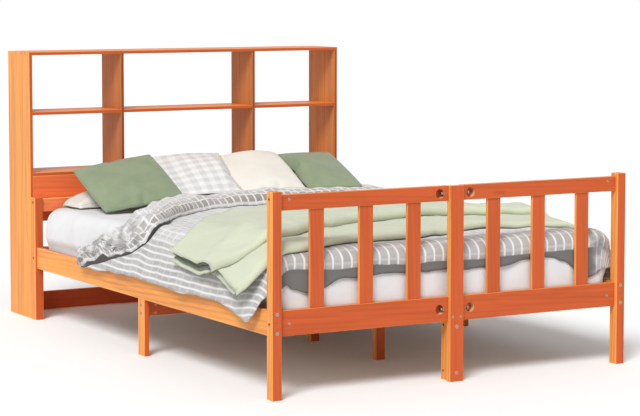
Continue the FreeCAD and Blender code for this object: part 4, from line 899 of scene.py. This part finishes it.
def inflate(piece, volume):
    """Runs the cloth simulation under a pressure that fills it to a volume, and keeps its last shape."""
    merge = piece.modifiers.new("join", "WELD")
    merge.merge_threshold = 0.0004
    cloth = piece.modifiers.new("cloth", "CLOTH")
    settings = cloth.settings
    settings.use_pressure = True
    settings.uniform_pressure_force = 0.0
    settings.use_pressure_volume = True
    settings.target_volume = volume
    settings.pressure_factor = 2.0
    settings.quality = 6
    settings.mass = 0.25
    settings.bending_stiffness = 1.5
    settings.effector_weights.gravity = 0.0
    cloth.point_cache.frame_start = 1
    cloth.point_cache.frame_end = LAST_FRAME
    scene = bpy.context.scene
    for step in range(1, LAST_FRAME + 1):
        scene.frame_set(step)
    shaped = bpy.data.meshes.new_from_object(piece.evaluated_get(bpy.context.evaluated_depsgraph_get()))
    piece.modifiers.clear()
    old, piece.data = piece.data, shaped
    bpy.data.meshes.remove(old)
    scene.frame_set(1)


def gingham():
    """White cotton with pale crossing stripes; where two cross, the square is darker."""
    net, plain, parts, material = cotton("gingham_cotton", palette().gingham[:], 0.0014, 0.05, seam=SEAM)
    pitch = sizes().gingham_pitch
    down, over = (line_mask(net, part, pitch, pitch * 0.5, 0.1) for part in parts)
    both = net.times(net.math("ADD", down, over), 0.5)
    net.paint(net.mix(both, plain, (0.55, 0.55, 0.55)))
    return material


def fringe(name, piece, node, material):
    """Threads along a cushion's left and right rims.  Each is a strip of three rows that leaves the rim
    outwards, droops with the square of the way along it and tapers; noise varies its length and its slant."""
    middle, half, axes = cushion_frame(node)
    spots = (read(piece.data.vertices, "co", 3) - middle) @ axes.T
    on_rim = read(piece.data.attributes["edge"].data, "value", 1)[:, 0] < 1e-6
    row = np.array([0.0, 0.5, 1.0])[None, :, None]
    column = np.array([-1.0, 1.0])[None, None]
    strips = []
    for side in (-1, 1):
        rim = spots[on_rim & (side * spots[:, 0] > 0.93 * half[0])]
        rim = rim[np.argsort(rim[:, 1])]
        at = np.linspace(rim[0, 1], rim[-1, 1], THREADS)
        root = np.stack([np.interp(at, rim[:, 1], rim[:, k]) for k in range(3)], -1)[:, None, None]
        vary = np.stack([lattice(at * 400, at * 0 + k, 81 + side) for k in range(3)], -1)[:, None, None]
        long = sizes().fringe_length * (1 + 0.35 * vary[..., 0])
        thread = np.stack([side * long * row + 0 * column,
                           0.4 * vary[..., 1] * long * row + THREAD / 2 * (1 - 0.5 * row) * column,
                           long * (0.25 * vary[..., 2] * row - 0.35 * row ** 2) + 0 * column], -1)
        strips.extend((root + thread) @ axes + middle)
    blank = np.zeros((3, 2, 2))
    threads = surface(name, [(strip, blank, 1.0) for strip in strips], material)
    thicken(threads, THREAD)
    threads.parent = piece


class BED_OT_cushions(bpy.types.Operator):
    """Makes the two sleeping pillows and the four cushions, one with a fringe"""
    bl_idname = "bed.cushions"
    bl_label = "Pillows and cushions"

    def execute(self, context):
        hue = palette()
        cream = cotton("cream_cotton", hue.cream[:], 0.0013, 0.06, seam=SEAM)[-1]
        sage = cotton("sage_cotton", hue.sage[:], 0.0016, 0.14, seam=SEAM)[-1]
        stuffed("sleeping_pillow_left", "pillow_left", cream, lying=True)
        stuffed("sleeping_pillow_right", "pillow_right", cream, lying=True)
        stuffed("sage_cushion_left", "cushion_green_left", sage)
        checked = stuffed("gingham_cushion", "cushion_gingham", gingham(), tuck=0.02)
        fringe("gingham_fringe", checked, "cushion_gingham", cream)
        stuffed("cream_cushion", "cushion_cream", cream, tuck=0.045)
        stuffed("sage_cushion_right", "cushion_green_right", sage)
        return {"FINISHED"}


# The stage. The camera is the one fitted to the photograph: its turns in degrees, its place in metres
# and its focal length in pixels of a picture PICTURE_WIDE across.
FLOOR_REACH = 40.0
SKY_LIGHT = 0.52
SUN_FROM = (-0.52, -0.48, 0.71)
CAMERA_TURNS = (30.069, 4.609, 0.020)
CAMERA_PLACE = (-4.2437, -7.5281, 1.4114)
FOCAL_PIXELS = 2187.9
PICTURE_WIDE = 640
SENSOR = 36


class BED_OT_stage(bpy.types.Operator):
    """Pale floor, soft light from the left and the camera of the photograph"""
    bl_idname = "bed.stage"
    bl_label = "Stage"

    def execute(self, context):
        scene = context.scene
        scene.view_settings.view_transform = "Standard"
        self.lay_floor()
        self.light_sky(scene)
        self.hang_sun()
        self.set_camera(scene)
        return {"FINISHED"}

    def lay_floor(self):
        corners = [(x * FLOOR_REACH, y * FLOOR_REACH, 0) for x, y in ((-1, -1), (1, -1), (1, 1), (-1, 1))]
        mesh = bpy.data.meshes.new("floor")
        mesh.from_pydata(corners, [], [(0, 1, 2, 3)])
        floor = add("floor", mesh)
        net = Net("pale_floor")
        net.shader.inputs["Base Color"].default_value = (0.90, 0.90, 0.90, 1.0)
        mesh.materials.append(net.finish(0.95, Specular_IOR_Level=0.05))

    def light_sky(self, scene):
        """A white world, at full strength where it is seen or mirrored and weaker as a light."""
        world = bpy.data.worlds.new("studio")
        world.use_nodes = True
        scene.world = world
        tree = world.node_tree
        back = tree.nodes["Background"]
        back.inputs["Color"].default_value = (1, 1, 1, 1)
        path = tree.nodes.new("ShaderNodeLightPath")
        seen = tree.nodes.new("ShaderNodeMath")
        seen.operation = "MAXIMUM"
        tree.links.new(path.outputs["Is Camera Ray"], seen.inputs[0])
        tree.links.new(path.outputs["Is Glossy Ray"], seen.inputs[1])
        level = tree.nodes.new("ShaderNodeMapRange")
        tree.links.new(seen.outputs[0], level.inputs["Value"])
        level.inputs["To Min"].default_value = SKY_LIGHT
        level.inputs["To Max"].default_value = 1.0
        tree.links.new(level.outputs[0], back.inputs["Strength"])

    def hang_sun(self):
        lamp = bpy.data.lights.new("window", "SUN")
        lamp.energy = 2.8
        lamp.angle = math.radians(24)
        sun = add("window", lamp)
        sun.rotation_euler = Vector(SUN_FROM).normalized().to_track_quat("Z", "Y").to_euler()

    def set_camera(self, scene):
        yaw, pitch, roll = (math.radians(turn) for turn in CAMERA_TURNS)
        flat = math.cos(pitch)
        ahead = Vector((math.sin(yaw) * flat, math.cos(yaw) * flat, -math.sin(pitch)))
        right = Vector((math.cos(yaw), -math.sin(yaw), 0.0))
        up = right.cross(ahead)
        right, up = (right * math.cos(roll) + up * math.sin(roll),
                     up * math.cos(roll) - right * math.sin(roll))
        lens = bpy.data.cameras.new("camera")
        lens.lens = FOCAL_PIXELS / PICTURE_WIDE * SENSOR
        lens.sensor_width = SENSOR
        lens.shift_y = -0.08
        lens.clip_end = 200
        camera = add("camera", lens)
        basis = Matrix((right, up, -ahead)).transposed().to_4x4()
        camera.matrix_world = Matrix.Translation(CAMERA_PLACE) @ basis
        scene.camera = camera


class BED_PT_panel(bpy.types.Panel):
    """Lists the steps that finish the bed"""
    bl_idname = "BED_PT_panel"
    bl_label = "Pine bed"
    bl_space_type = "VIEW_3D"
    bl_region_type = "UI"
    bl_category = "Bed"

    def draw(self, context):
        for step in STEPS:
            self.layout.operator(step.bl_idname)
        for group in (context.scene.bed_colours, context.scene.bed_sizes):
            for name in group.bl_rna.properties.keys():
                if name not in ("rna_type", "name"):
                    self.layout.prop(group, name)


STEPS = (BED_OT_timber, BED_OT_fittings, BED_OT_mattress, BED_OT_cover, BED_OT_throw, BED_OT_cushions,
         BED_OT_stage)
CLASSES = (BedColours, BedSizes, *STEPS, BED_PT_panel)


def register():
    for kind in CLASSES:
        bpy.utils.register_class(kind)
    bpy.types.Scene.bed_colours = bpy.props.PointerProperty(type=BedColours)
    bpy.types.Scene.bed_sizes = bpy.props.PointerProperty(type=BedSizes)


def unregister():
    del bpy.types.Scene.bed_sizes
    del bpy.types.Scene.bed_colours
    for kind in reversed(CLASSES):
        bpy.utils.unregister_class(kind)


def main():
    """Runs every step in order."""
    register()
    for step in STEPS:
        family, name = step.bl_idname.split(".")
        getattr(getattr(bpy.ops, family), name)()
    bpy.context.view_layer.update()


if __name__ == "__main__":
    main()
